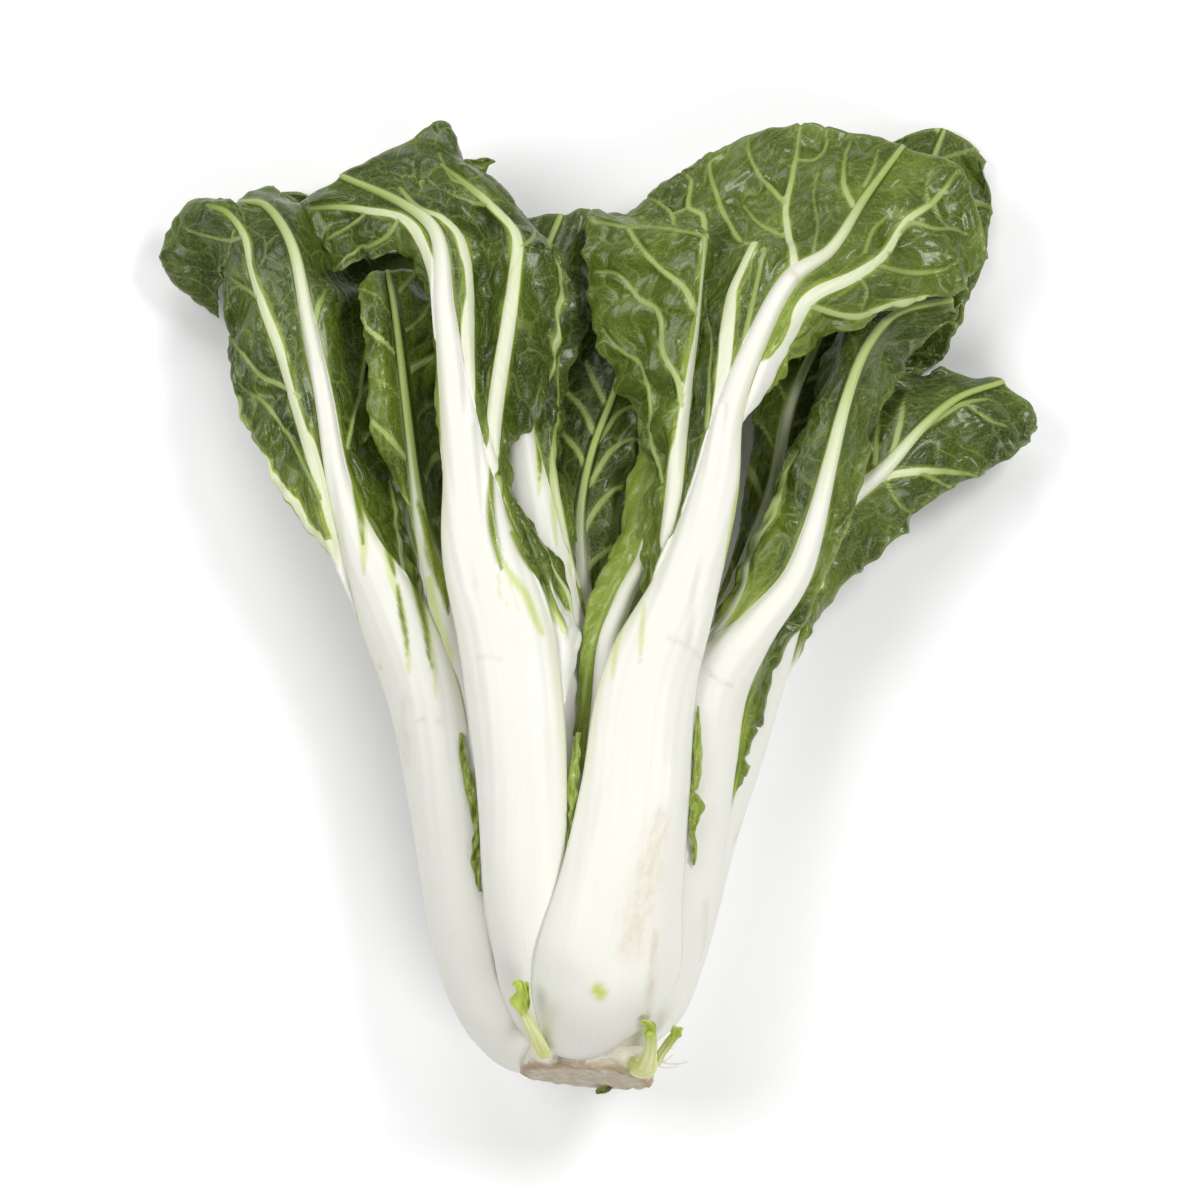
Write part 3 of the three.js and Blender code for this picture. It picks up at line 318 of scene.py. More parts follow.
            "0.6: -57 -145 4, -60 -109 4, -64 -73 4, -68 -44 3"),
    },
    "leaf_inner_left": {
        "spacing": 1.6, "tone": 0.32, "midrib_hidden": (0.75, 60, 150),
        "stalk": line(
            "-14 -158 51 9 5 -45 45, -33 -130 61 12 5 -45 40, -42 -94 59 12 5 -35 38, "
            "-47 -58 57 11 5 -25 36, -52 -30 55 8.5 4.5 -15 34, -57 -1 54 5 4.5 -8 32, "
            "-64 28 52 2.6 4 0 30, -68 57 52 1.9 3.5 0 30, -71 82 51 1.6 3 0 30, "
            "-74 104 48 1.2 2.5 0 30, -77 119 41 0.7 1.5 0 30"),
        "left": wing(5, 1,
            "-68 30 51, -75 57 54, -78 82 56, -80 104 55, -82 117 47",
            "-70 35 49, -81 59 52, -83 82 54, -86 107 52, -87 113 43"),
        "right": wing(4, 1,
            "-51 -1 52, -60 28 47, -62 57 44, -64 82 45, -66 105 43, -69 120 38",
            "-49 -5 50, -57 21 44, -57 53 40, -59 82 40, -61 107 39, -64 120 34"),
        "streaks": strokes(
            "0.7: -60 5 1.4, -57 -9 1.6, -53 -22 1.2, -52 -38 0.5"),
        "greens": strokes(
            "1: -65 33 0.5, -62 23 1.2, -60 14 1.8, -57 6 2, -55 -1 1.2, -54 -7 0.5"),
    },
    "leaf_centre_left": {
        "spacing": 1.5, "tone": 0.12, "white": (10, 4),
        "stalk": line(
            "-7 -156 57 9 6 -10 45, -9 -130 65 14 6.5 -8 42, -11 -94 65 16 6.5 -6 40, "
            "-14 -58 63 16 6 -5 38, -15 -30 60 14 6 -4 36, -19 -1 58 11 5.5 -4 34, "
            "-24 28 56 9 5 -3 32, -28 57 55 4.5 4.5 0 30, -29 86 53 2 4 0 30, "
            "-25 111 47 1.4 3 0 30, -14 140 39 0.8 1.5 0 30"),
        "left": wing(6, 1,
            "-33 55 51, -35 82 47, -33 107 43, -25 139 35",
            "-36 50 49, -38 78 43, -39 104 39, -34 133 33"),
        "right": wing(4, 1,
            "-8 -1 55, -14 28 54, -17 53 53, -18 82 51, -13 107 47, -6 142 39",
            "-6 -3 53, -11 28 47, -14 53 44, -11 82 42, -3 107 40, 1 140 34"),
        "ribs": [
            *ribs(1, (4, 12),
                  "-8 3 1.2, -13 19 1.4, -16 35 1.2, -17 50 0.9, -16 71 0.7, -14 93 0.5",
                  "-6 14 0.8, -8 32 0.8, -10 50 0.7, -10 71 0.5"),
            *ribs(-1, (4, 12),
                  "-21 14 0.9, -25 35 0.8, -27 57 0.7, -28 78 0.5"),
        ],
        "streaks": strokes(
            "0.6: -22 60 2.6, -22 51 1.9, -22 42 1.2, -22 35 0.5",
            "0.6: -18 41 0.6, -17 28 1.1, -16 17 0.6",
            "0.6: -12 28 0.6, -11 15 1.1, -11 6 0.5"),
        "greens": strokes(
            "1: -22 62 2, -22 53 1.3, -22 45 0.8, -22 41 0.3"),
    },
    "leaf_centre": {
        "spacing": 1.5, "tone": -0.2, "midrib_hidden": (0.82, 70, 190),
        "stalk": line(
            "-3 -156 47 10 6 5 45, -3 -127 51 14 6 5 42, -3 -91 49 14 6 5 40, "
            "-4 -55 47 13 5.5 4 38, -6 -22 44 7.5 5 3 36, -7 6 41 3.4 4.5 0 32, "
            "-7 32 40 2 4 0 30, -3 53 40 1.5 3.5 0 30, 5 75 38 1.2 3 0 30, 10 93 33 1 2 0 30, "
            "14 107 27 0.7 1.2 0 30"),
        "left": wing(4, 1,
            "-14 6 39, -14 32 37, -14 57 35, -8 78 33, -3 100 30, 3 116 25",
            "-15 5 37, -19 32 34, -19 57 32, -16 82 30, -13 104 26, -6 120 22"),
        "right": wing(4, 1,
            "-1 6 39, 2 32 39, 5 53 38, 11 73 35, 16 91 31, 19 107 25",
            "2 8 39, 8 32 38, 13 55 38, 16 71 35, 21 89 29, 25 105 23"),
        "ribs": [
            *ribs(1, (3, 12),
                  "-8 6 0.9, -3 13 0.9, 3 18 0.8, 9 24 0.6",
                  "-7 22 0.9, -3 30 0.9, 2 36 0.8, 7 40 0.7, 13 41 0.5",
                  "-4 41 0.9, 0 48 0.9, 4 54 0.8, 10 57 0.7, 17 59 0.5",
                  "-1 57 0.9, 3 63 0.8, 7 68 0.7, 14 71 0.5"),
            *ribs(-1, (3, 12),
                  "-4 45 0.9, -8 54 0.9, -13 60 0.8, -17 64 0.6",
                  "-2 60 0.9, -6 69 0.9, -11 75 0.8, -15 77 0.6",
                  "2 71 0.9, -2 80 0.9, -5 87 0.7"),
        ],
    },
    "leaf_inner_right": {
        "spacing": 1.3, "tone": 1.05, "white": (2, 10),
        "stalk": line(
            "2 -156 59 9 5.5 8 45, 4 -127 70 12 6 8 40, 5 -94 70 12 6 6 38, "
            "4 -66 68 10 5.5 4 36, 3 -40 66 6.5 5 0 34, 3 -19 64 4.2 4.5 -4 32, "
            "8 -3 62 2.8 4 -4 30, 16 14 59 2.2 3.5 0 30, 22 42 54 1.6 3 0 30, "
            "27 71 49 1.2 2.5 0 30, 30 96 43 0.7 1.2 0 30"),
        "left": wing(2, 1,
            "-6 -71 66, -5 -40 66, -2 -19 64, 2 -4 62, 9 14 58, 16 42 52, 21 71 46, 23 96 40",
            "-10 -76 64, -8 -42 64, -7 -21 64, -4 -3 62, 2 11 56, 11 39 46, 15 68 42, 17 93 38"),
        "right": wing(4, 1,
            "7 -21 62, 12 -5 58, 21 10 54, 28 39 49, 33 68 45, 37 93 40",
            "10 -22 59, 16 -8 55, 25 8 50, 34 35 46, 39 64 42, 42 89 38"),
        "ribs": [
            *ribs(-1, (3, 12),
                  "-8 -73 0.3, -7 -51 0.4, -5 -33 0.5, -3 -19 0.5, 2 -5 0.45, 7 5 0.35",
                  "-4 -44 0.3, -3 -33 0.4, 1 -21 0.4, 6 -10 0.3"),
        ],
        "streaks": strokes(
            "0.6: 11 -8 1.3, 6 -22 1.5, 2 -36 1.1, 0 -44 0.5"),
        "greens": strokes(
            "1: 10 -9 0.8, 6 -22 1, 2 -35 0.7, 0 -40 0.4"),
        "painted_shade": strokes(
            "-0.7: -8 -73 7, -6 -44 7, -2 -22 7, 4 -1 7"),
    },
    "leaf_right": {
        "spacing": 1.3, "tone": 0.18, "white": (20, 10), "midrib_hidden": (0.55, 50, 130),
        "stalk": line(
            "5 -162 49 11 7 50 50, 19 -148 59 16 8 50 48, 26 -130 65 17.5 8.5 48 45, "
            "32 -109 67 17.5 8 42 42, 34 -84 66 17 8 34 40, 37 -58 65 16 7.5 28 38, "
            "42 -33 64 13 7 22 36, 56 -13 63 7 6 15 34, 69 4 62 4.6 5.5 10 32, "
            "76 23 61 3.5 5 8 30, 82 47 59 2.6 4.5 6 30, 88 70 57 2.1 4 4 30, "
            "96 90 52 1.6 3 0 30, 107 103 44 1.2 2 0 30, 128 110 33 0.7 1.2 0 30"),
        "left": wing(6, 1.6,
            "45 -10 61, 58 12 59, 66 30 57, 73 51 55, 81 75 52, 89 96 46, 102 109 39, 120 116 30",
            "39 -13 57, 50 6 54, 58 31 52, 66 46 50, 77 62 47, 83 86 40, 91 104 34, 105 114 26"),
        "right": wing(4, 1.2,
            "49 -62 52, 55 -39 52, 61 -15 55, 74 3 58, 82 22 57, 89 46 54, 96 69 50, 102 88 44, "
            "114 100 38, 129 107 29",
            "52 -64 48, 58 -40 48, 67 -17 51, 77 0 55, 86 19 54, 95 48 49, 101 67 44, 109 81 38, "
            "120 97 32, 132 112 25"),
        "ribs": [
            *ribs(1, (5, 14),
                  "69 14 1.2, 75 28 1.1, 77 42 1, 81 57 0.9, 87 71 0.7"),
            *ribs(-1, (6, 14),
                  "41 -15 1.4, 50 -1 1.5, 55 14 1.3, 61 28 1, 66 42 0.7",
                  "50 -1 0.8, 56 21 0.9, 64 39 0.8, 71 51 0.5"),
        ],
        "stains": strokes(
            "0.75: 37 -28 0.8, 41 -32 0.7, 45 -33 0.6",
            "0.5: 34 -109 0.8, 33 -130 0.8"),
        "painted_shade": strokes(
            "-0.5: 41 -19 5, 50 -1 6, 58 14 5, 64 32 4"),
        "ridges": strokes(
            "-0.6: 73 -1 1.2, 64 -15 1.5, 53 -30 1.7, 45 -48 1.6",
            "0.6: 33 -130 3, 39 -94 3, 41 -66 3"),
    },
    "leaf_far_right": {
        "spacing": 1.3, "tone": 0.25,
        "stalk": line(
            "8 -163 41 10 6 85 50, 25 -149 41 15 7.5 85 46, 33 -130 43 16 8 84 44, "
            "39 -109 45 16.5 7.5 80 42, 45 -84 45 15.5 7 70 40, 53 -58 45 12.5 6.5 58 38, "
            "60 -33 45 9.5 6 45 36, 68 -8 46 6 5.5 35 34, 76 14 46 4.2 5 25 32, "
            "88 34 45 3.1 4.5 15 30, 102 46 43 2.3 4 8 30, 117 63 39 1.6 3 4 30, "
            "130 74 33 1.1 2 0 30, 147 81 25 0.7 1.2 0 30"),
        "left": wing(7, 1.5,
            "72 18 45, 84 42 41, 97 55 39, 106 71 35, 118 77 31, 134 83 23",
            "70 21 43, 82 49 37, 91 62 35, 98 73 31, 106 80 27, 122 83 21"),
        "right": wing(6, 2,
            "73 -13 42, 82 10 43, 95 29 42, 111 42 40, 129 55 35, 144 65 29, 157 73 21",
            "75 -13 39, 88 6 38, 104 19 36, 116 34 34, 138 47 30, 151 55 25, 160 65 19"),
        "ribs": [
            *ribs(1, (6, 13),
                  "78 5 1.6, 81 17 1.7, 86 32 1.6, 97 42 1.5, 114 46 1.2, 127 47 0.8, "
                  "136 46 0.4"),
            *ribs(-1, (7, 13),
                  "105 51 0.9, 108 62 0.9, 110 72 0.6, 112 76 0.4",
                  "99 48 0.8, 100 57 0.7, 101 67 0.5"),
            *ribs(1, (6, 13),
                  "111 57 0.9, 122 66 0.9, 132 72 0.7, 141 74 0.5",
                  "114 46 0.7, 123 43 0.6, 130 40 0.4",
                  "102 43 0.7, 107 35 0.6, 113 32 0.4",
                  "132 72 0.6, 140 66 0.6, 148 64 0.4"),
        ],
        "stains": strokes(
            "0.6: 45 -86 0.7, 51 -73 0.6",
            "0.6: 41 -120 0.5, 42 -120 0.5"),
        "painted_shade": strokes(
            "-0.35: 58 -33 5, 53 -58 5, 50 -80 5"),
    },
    "leaf_back_right": {
        "spacing": 1.6, "tone": 0.12,
        "stalk": line(
            "3 -156 43 9 6 30 45, 14 -127 47 13 6 30 42, 22 -91 45 13 6 26 40, "
            "33 -55 42 12 5.5 20 38, 44 -19 38 8 5 15 36, 55 14 34 4 4.5 10 34, "
            "63 42 32 2 4 5 30, 68 68 30 1.6 3.5 0 30, 76 89 28 1.3 3 0 30, 87 111 24 1 2 0 30, "
            "98 129 19 0.7 1.2 0 30"),
        "left": wing(4, 1,
            "51 15 32, 57 46 29, 61 71 27, 68 93 25, 77 114 21, 87 132 16",
            "48 17 30, 54 46 26, 56 71 24, 60 96 22, 69 118 18, 78 135 14"),
        "right": wing(4, 1,
            "60 12 32, 70 39 30, 77 64 28, 86 87 26, 97 107 22, 109 125 17",
            "64 8 30, 75 35 28, 84 60 26, 91 84 24, 104 100 20, 118 116 15"),
    },
    "leaf_under_right": {
        "spacing": 1.7, "tone": 0.35,
        "stalk": line(
            "3 -163 31 12 7 130 50, 15 -147 21 16 8.5 130 46, 22 -127 17 17 9 135 44, "
            "30 -98 15 17 8.5 140 42, 38 -66 13 16 8 150 40, 47 -33 12 14 7.5 160 38, "
            "58 3 11 10 7 170 36, 71 42 9 7 6 180 32, 84 78 6 5 5.5 180 30, "
            "96 107 3 4 4.5 180 30, 109 136 1.3 2.8 3.2 180 30, 120 159 1.6 1.8 2.2 180 30, "
            "128 179 4 0.8 1.2 180 30"),
        "left": wing(7, 0.3,
            "97 75 6, 111 101 3.5, 125 127 2.5, 133 150 3, 138 173 5",
            "111 85 8, 126 93 7, 135 112 6, 144 138 6, 143 166 7"),
        "right": wing(7, 0.3,
            "73 86 6, 84 114 3.5, 96 143 2.5, 107 159 3, 118 178 5",
            "66 89 8, 73 122 7, 84 150 6, 97 162 6, 107 173 6"),
    },
    "leaf_under": {
        "spacing": 1.9, "tone": 0.25,
        "stalk": line(
            "-6 -165 27 13 7 190 50, -7 -152 12 17.5 8.5 190 48, -9 -138 5.5 19 9 190 44, "
            "-9 -116 3.6 19 9 188 42, -9 -91 3.6 18.5 8.5 187 42, -9 -58 5 17.5 8 186 40, "
            "-9 -33 6.5 15 7.5 184 38, -8 -1 8.5 11 7 182 36, -7 35 9.5 8 6 180 32, "
            "-6 71 10 5.5 5.5 180 30, -3 100 10 4 4.5 180 30, 1 122 10.5 2.5 3 180 30, "
            "5 138 11.5 1 1.2 180 30"),
        "left": wing(7, 1,
            "5 39 9, 12 75 9, 19 104 9, 24 123 9.5, 22 137 10",
            "14 35 7, 24 75 6.5, 33 107 6, 37 125 6.5, 33 137 7"),
        "right": wing(7, 1,
            "-19 39 9, -22 75 9, -22 104 9, -17 123 9.5, -10 136 10",
            "-28 35 7, -35 75 6.5, -36 107 6, -32 125 6.5, -22 135 7"),
    },
    "leaf_under_left": {
        "spacing": 1.9, "tone": 0.25,
        "stalk": line(
            "-14 -163 31 12 7 -130 50, -31 -149 21 16 8.5 -130 46, -39 -129 17 17 9 -135 44, "
            "-43 -98 15 17 8.5 -140 42, -47 -66 13 16 8 -150 40, -53 -33 12 14 7.5 -160 38, "
            "-62 3 11 10 7 -170 36, -74 39 9 7 6 -180 32, -86 71 6 5 5.5 -180 30, "
            "-96 100 3 4 4.5 -180 30, -107 123 1.3 2.8 3.2 -180 30, "
            "-116 140 1.6 1.8 2.2 -180 30, -123 154 4 0.8 1.2 -180 30"),
        "left": wing(6, 0.8,
            "-64 42 8, -73 73 6, -84 102 3.5, -93 125 2.5, -103 141 3, -114 155 5",
            "-57 42 10, -62 73 8, -71 102 7, -81 125 6, -91 140 6, -106 150 7"),
        "right": wing(6, 0.8,
            "-81 39 8, -94 71 6, -107 98 3.5, -118 121 2.5, -125 138 3, -128 152 5",
            "-87 35 10, -102 66 8, -116 93 7, -127 114 6, -132 132 6, -134 143 7"),
    },
}

# ---- Smooth interpolation --------------------------------------------------------------------


def gap(a, b):
    return np.maximum(np.linalg.norm((a - b)[..., :3], axis=-1, keepdims=True), 1e-6)


def unit(vectors):
    return vectors / np.maximum(np.linalg.norm(vectors, axis=-1, keepdims=True), 1e-9)


def lengths(points, axis):
    """Distances from each point to the next one along an axis of a grid."""
    return np.linalg.norm(np.diff(points, axis=axis), axis=-1)


def smoothstep(low, high, x):
    f = np.clip((x - low) / (high - low), 0, 1)
    return f * f * (3 - 2 * f)


def between(before, a, b, after, f):
    """From a to b on a smooth curve whose slopes follow the distances between the points."""
    step = gap(a, b)
    slope_a = (b - before) * step / (step + gap(before, a))
    slope_b = (after - a) * step / (step + gap(b, after))
    rise = b - a
    bend = 3 * rise - 2 * slope_a - slope_b + f * (slope_a + slope_b - 2 * rise)
    return a + f * (slope_a + f * bend)


def along(points, u):
    """The curve through points, at every position in u; point i is at i."""
    points = np.asarray(points, float)
    last = len(points) - 1
    i = np.clip(np.floor(u).astype(int), 0, last - 1)
    a, b = points[i], points[i + 1]
    before = np.where((i > 0)[:, None], points[np.maximum(i - 1, 0)], 2 * a - b)
    after = np.where((i < last - 1)[:, None], points[np.minimum(i + 2, last)], 2 * b - a)
    return between(before, a, b, after, (u - i)[:, None])


WAVE_COUNT = 6


def waves(x, y, length, seed):
    """Gentle bumps from -1 to 1 over a surface, about `length` across."""
    rng = np.random.default_rng(seed)
    total = np.zeros(np.broadcast(x, y).shape)
    for _ in range(WAVE_COUNT):
        angle = rng.uniform(0, math.pi)
        turn = 2 * math.pi / (length * rng.uniform(0.7, 1.5))
        phase = rng.uniform(0, 2 * math.pi)
        total += np.sin((x * math.cos(angle) + y * math.sin(angle)) * turn + phase)
    return total / math.sqrt(WAVE_COUNT * 0.5) / 1.6


# ---- The surface of a leaf -------------------------------------------------------------------

SEAM_WIDTH = 0.12        # strip that a wing starts from, along the stalk's edge
STALK_EDGE = 0.3         # a stalk's thickness at its edge, as a share of its middle
EDGE_THICKNESS = 1.3     # wing, where it leaves the stalk
BLADE_THICKNESS = 0.9    # wing, near its margin
STALK_ROW_STRETCH = 1.7  # rows are this much further apart on the bare stalk
DIFFERENCE = 0.05        # stations either side, for the direction of the stalk


class Sections:
    """The crescent sections of a stalk at stations u."""

    def __init__(self, stalk, u):
        values = along(stalk, u)
        self.middle = values[:, :3]
        ahead = along(stalk, u + DIFFERENCE)[:, :3]
        forward = unit(ahead - along(stalk, u - DIFFERENCE)[:, :3])
        lean = np.radians(values[:, 5])
        outward = np.stack([np.sin(lean), np.zeros_like(lean), np.cos(lean)], axis=1)
        outward -= forward * (outward * forward).sum(1, keepdims=True)
        self.outward = unit(outward)
        self.across = np.cross(forward, self.outward)
        self.half_width = values[:, 3:4]
        self.thickness = values[:, 4:5]
        self.curl = np.radians(values[:, 6:7])

    def at(self, q):
        """Points on the crescents, for q from -1 on the left edge to 1 on the right."""
        q = np.asarray(q, float)[None, :, None]
        curl = self.curl[:, None, :]
        radius = self.half_width[:, None, :] / curl
        sideways = self.across[:, None, :] * radius * np.sin(curl * q)
        down = self.outward[:, None, :] * radius * (1 - np.cos(curl * q))
        return self.middle[:, None, :] + sideways - down

    def edge(self, side):
        return self.at([side])[:, 0]

    def over_edge(self, side):
        """The direction in which the crescent runs out over its edge."""
        return self.across * side * np.cos(self.curl) - self.outward * np.sin(self.curl)


def wing_lines(leaf, side, u):
    """Points (row, curve, xyz) of a wing, from the stalk's edge to the leaf's margin."""
    start, ruffle, curves = leaf["left" if side < 0 else "right"]
    first = Sections(leaf["stalk"], np.array([float(start)]))
    rows = Sections(leaf["stalk"], u)
    edge, out = rows.edge(side), rows.over_edge(side)
    lines = [edge]
    for k, curve in enumerate(curves, 1):
        seam = first.edge(side) + first.over_edge(side) * k * SEAM_WIDTH
        point = along(np.vstack([seam, curve]), np.maximum(u - start, 0))
        point[:, 2] += ruffle * (k / len(curves)) ** 3 * np.cos(2 * math.pi * u)
        beside = ((point - edge) * rows.across).sum(1, keepdims=True) * side
        point += rows.across * side * np.maximum(k * SEAM_WIDTH - beside, 0)
        lines.append(np.where((u <= start)[:, None], edge + out * k * SEAM_WIDTH, point))
    return np.stack(lines, axis=1), out


def across_wing(lines, out, x):
    """Points of a wing at positions x across it: 0 on the stalk's edge, k on curve k."""
    inside = lines[:, 0] - out * gap(lines[:, 0], lines[:, 1])
    last = lines.shape[1] - 1
    columns = []
    for value in x:
        i = min(int(value), last - 1)
        a, b = lines[:, i], lines[:, i + 1]
        before = inside if i == 0 else lines[:, i - 1]
        after = 2 * b - a if i + 2 > last else lines[:, i + 2]
        columns.append(between(before, a, b, after, value - i))
    return np.stack(columns, axis=1)


def spread(steps, spacing):
    """Positions from 0 to the number of steps, about `spacing` apart on each of them."""
    parts = [np.zeros(1)]
    for i, length in enumerate(steps):
        count = max(int(math.ceil(length / spacing)), 1)
        parts.append(i + np.arange(1, count + 1) / count)
    return np.concatenate(parts)


class Surface:
    """The middle surface of a leaf as a grid: its rows go up the leaf, its columns across."""

    def __init__(self, leaf):
        spacing = leaf["spacing"]
        ends = np.arange(len(leaf["stalk"]), dtype=float)
        stalk = Sections(leaf["stalk"], ends)
        coarse = {side: wing_lines(leaf, side, ends)[0] for side in (-1, 1)}
        first = min(leaf["left"][0], leaf["right"][0])
        lines = np.concatenate([stalk.middle[:, None], coarse[-1], coarse[1]], axis=1)
        steps = lengths(lines, 0).max(axis=1)
        steps[:first] /= STALK_ROW_STRETCH
        self.u = spread(steps, spacing)
        across = {side: spread(lengths(coarse[side], 1).max(axis=0), spacing)[1:]
                  for side in (-1, 1)}
        width = 2 * float(stalk.half_width.max())
        q = np.linspace(-1, 1, int(math.ceil(width / spacing)) + 1)

        rows = Sections(leaf["stalk"], self.u)
        wings, thickness = {}, {}
        stalk_thickness = rows.thickness * (1 - (1 - STALK_EDGE) * q ** 2)
        stalk_thickness = np.maximum(stalk_thickness, BLADE_THICKNESS)
        edge_thickness = np.minimum(stalk_thickness[:, :1], EDGE_THICKNESS)
        for side in (-1, 1):
            wing, out = wing_lines(leaf, side, self.u)
            x = across[side]
            wings[side] = across_wing(wing, out, x)
            thickness[side] = edge_thickness + (BLADE_THICKNESS - edge_thickness) * x / x[-1]
        self.points = np.concatenate([wings[-1][:, ::-1], rows.at(q), wings[1]], axis=1)
        self.thickness = np.concatenate(
            [thickness[-1][:, ::-1], stalk_thickness, thickness[1]], axis=1)
        # c is the place across: within 1 it is on the stalk, beyond that on a wing.
        self.c = np.concatenate([-1 - across[-1][::-1], q, 1 + across[1]])
        self.left_edge = len(across[-1])
        self.right_edge = self.left_edge + len(q) - 1
        self.half_width = rows.half_width
        self.starts = {-1: leaf["left"][0], 1: leaf["right"][0]}
        self.measure()

    def measure(self):
        """Normals, and distances over the surface in millimetres."""
        points = self.points
        sideways = np.gradient(points, axis=1)
        forward = np.gradient(points, axis=0)
        self.normals = unit(np.cross(sideways, forward))
        walk = np.cumsum(lengths(points, 1), axis=1)
        walk = np.concatenate([np.zeros((len(points), 1)), walk], axis=1)
        middle = (self.left_edge + self.right_edge) // 2
        self.from_middle = walk - walk[:, middle:middle + 1]
        left = walk[:, self.left_edge:self.left_edge + 1]
        right = walk[:, self.right_edge:self.right_edge + 1]
        self.from_edge = np.maximum(np.maximum(left - walk, walk - right), 0)
        self.into_stalk = np.maximum(np.minimum(walk - left, right - walk), 0)
        self.to_margin = np.minimum(walk, walk[:, -1:] - walk)
        climb = np.cumsum(lengths(points, 0), axis=0)
        self.upward = np.concatenate([np.zeros((1, points.shape[1])), climb], axis=0)
        self.stalk_upward = np.repeat(self.upward[:, middle:middle + 1], points.shape[1], axis=1)
        self.to_tip = self.upward[-1:] - self.upward
        self.on_wing = np.abs(self.c) > 1
        self.wing_width = np.where(self.c < 0, left, walk[:, -1:] - right)

    def bare(self):
        """True where a wing hasn't started yet, so that its columns close up on the edge."""
        starts = np.where(self.c < 0, self.starts[-1], self.starts[1])
        return self.on_wing[None, :] & (self.u[:, None] <= starts[None, :])


# ---- Ribs and veins --------------------------------------------------------------------------

RIB_STEP = 0.6           # millimetres between the points that stand for a rib
RIB_EVENING = 9          # points of a rib that its height is averaged over
THINNEST_RIB = 0.3
FAR = 9.0                # how far from a rib it still counts
LATERAL_SLANT = 0.75     # how steeply side veins climb as they leave the stalk
LATERAL_SPACING = 17.0
NETWORK_CELL = 11.0      # width of the larger meshes of the vein network
NETWORK_VEIN = 0.34      # half-width of their veins
FINE_CELL = 5.0
FINE_VEIN = 0.16
NETWORK_TABLE = 64       # the network's random places repeat after this many meshes
RIDGE_HEIGHT = 0.62      # how proud a rib stands, as a share of its half-width
WIDEST_RIDGE = 1.7       # a wider rib stands no prouder than this half-width
DOME_WIDTH = 1.45        # a rib's rise in the mesh, as a share of its half-width
PUCKER_HEIGHT = 0.8      # how far the blade bulges within a larger mesh
FINE_PUCKER = 0.2
SWELL_HEIGHT = 1.8       # broad swells of the blade
FRILL_HEIGHT = 0.9       # waves of the margin
FRILL_LENGTH = 13.0
WANDER = 1.3             # how far the margin runs in and out, in long waves and in short ones
SHORT_WANDER = 0.5
GROOVE_HEIGHT = 0.09     # fine lengthwise lines of a stalk
FRESH_LENGTH = 45.0      # length of the bright, young start of a wing


def plan_route(points, step):
    """A smooth line through points (x, y, half-width) in plan, as rows (x, y, 0, half-width)."""
    points = np.array(points, float)
    stations = np.column_stack([points[:, :2], np.zeros(len(points)), points[:, 2]])
    return along(stations, spread(lengths(points[:, :2], 0), step))


def rib_on_surface(surface, side, window, points):
    """A rib lifted from its place in plan onto the wing: (points, half-widths, the wing)."""
    inside = (surface.u >= window[0]) & (surface.u <= window[1])
    chosen = inside[:, None] & (surface.c * side >= 0.9)[None, :] & ~surface.bare()
    candidates = surface.points[chosen]
    route = plan_route(points, RIB_STEP)
    away = np.linalg.norm(candidates[None, :, :2] - route[:, None, :2], axis=2)
    lifted = candidates[away.argmin(axis=1)]
    padded = np.pad(lifted[:, 2], RIB_EVENING // 2, mode="edge")
    height = np.convolve(padded, np.ones(RIB_EVENING) / RIB_EVENING, mode="valid")
    return np.column_stack([route[:, :2], height]), route[:, 3], chosen


class Lines:
    """The nearest rib or vein at each point of a leaf: how far, on which side, how wide."""

    def __init__(self, shape):
        self.near = np.full(shape, FAR)      # distance, millimetres
        self.offset = np.full(shape, FAR)    # the same with the side as its sign
        self.reach = np.full(shape, THINNEST_RIB)  # half-width of that rib or vein

    def add(self, near, offset, reach, where):
        better = where & (near - reach < self.near - self.reach) & (near < FAR)
        self.near = np.where(better, near, self.near)
        self.offset = np.where(better, offset, self.offset)
        self.reach = np.where(better, reach, self.reach)


def add_rib(ribs, surface, side, window, points):
    line, widths, chosen = rib_on_surface(surface, side, window, points)
    low, high = line.min(axis=0) - FAR, line.max(axis=0) + FAR
    where = chosen & ((surface.points > low) & (surface.points < high)).all(axis=2)
    away = np.linalg.norm(surface.points[where][:, None] - line[None], axis=2)
    closest = (away - widths[None]).argmin(axis=1)
    near = np.full(surface.points.shape[:2], FAR)
    reach = np.ones_like(near)
    near[where] = away[np.arange(len(away)), closest]
    reach[where] = widths[closest]
    ribs.add(near, near, reach, where)


def network(x, y, cell, seed):
    """Distance to the nearest line of a network of cells over a surface, and its sign."""
    rng = np.random.default_rng(seed)
    table = rng.uniform(0.12, 0.88, (NETWORK_TABLE, NETWORK_TABLE, 2))
    column, row = np.floor(x / cell).astype(int), np.floor(y / cell).astype(int)
    first = np.full(x.shape, 1e9)
    second = np.full(x.shape, 1e9)
    spot = np.zeros(x.shape + (2,))
    other = np.zeros_like(spot)
    for i in (-1, 0, 1):
        for j in (-1, 0, 1):
            jitter = table[(column + i) % NETWORK_TABLE, (row + j) % NETWORK_TABLE]
            seed_spot = (np.stack([column + i, row + j], axis=-1) + jitter) * cell
            away = np.hypot(seed_spot[..., 0] - x, seed_spot[..., 1] - y)
            nearer = away < first
            closer = ~nearer & (away < second)
            runner_up = np.where(closer[..., None], seed_spot, other)
            other = np.where(nearer[..., None], spot, runner_up)
            second = np.where(nearer, first, np.where(closer, away, second))
            spot = np.where(nearer[..., None], seed_spot, spot)
            first = np.where(nearer, away, first)
    apart = np.maximum(np.linalg.norm(spot - other, axis=-1), 1e-6)
    turn = np.sign((spot - other) @ np.array([1.0, 0.37]))
    return (second ** 2 - first ** 2) / (2 * apart), turn


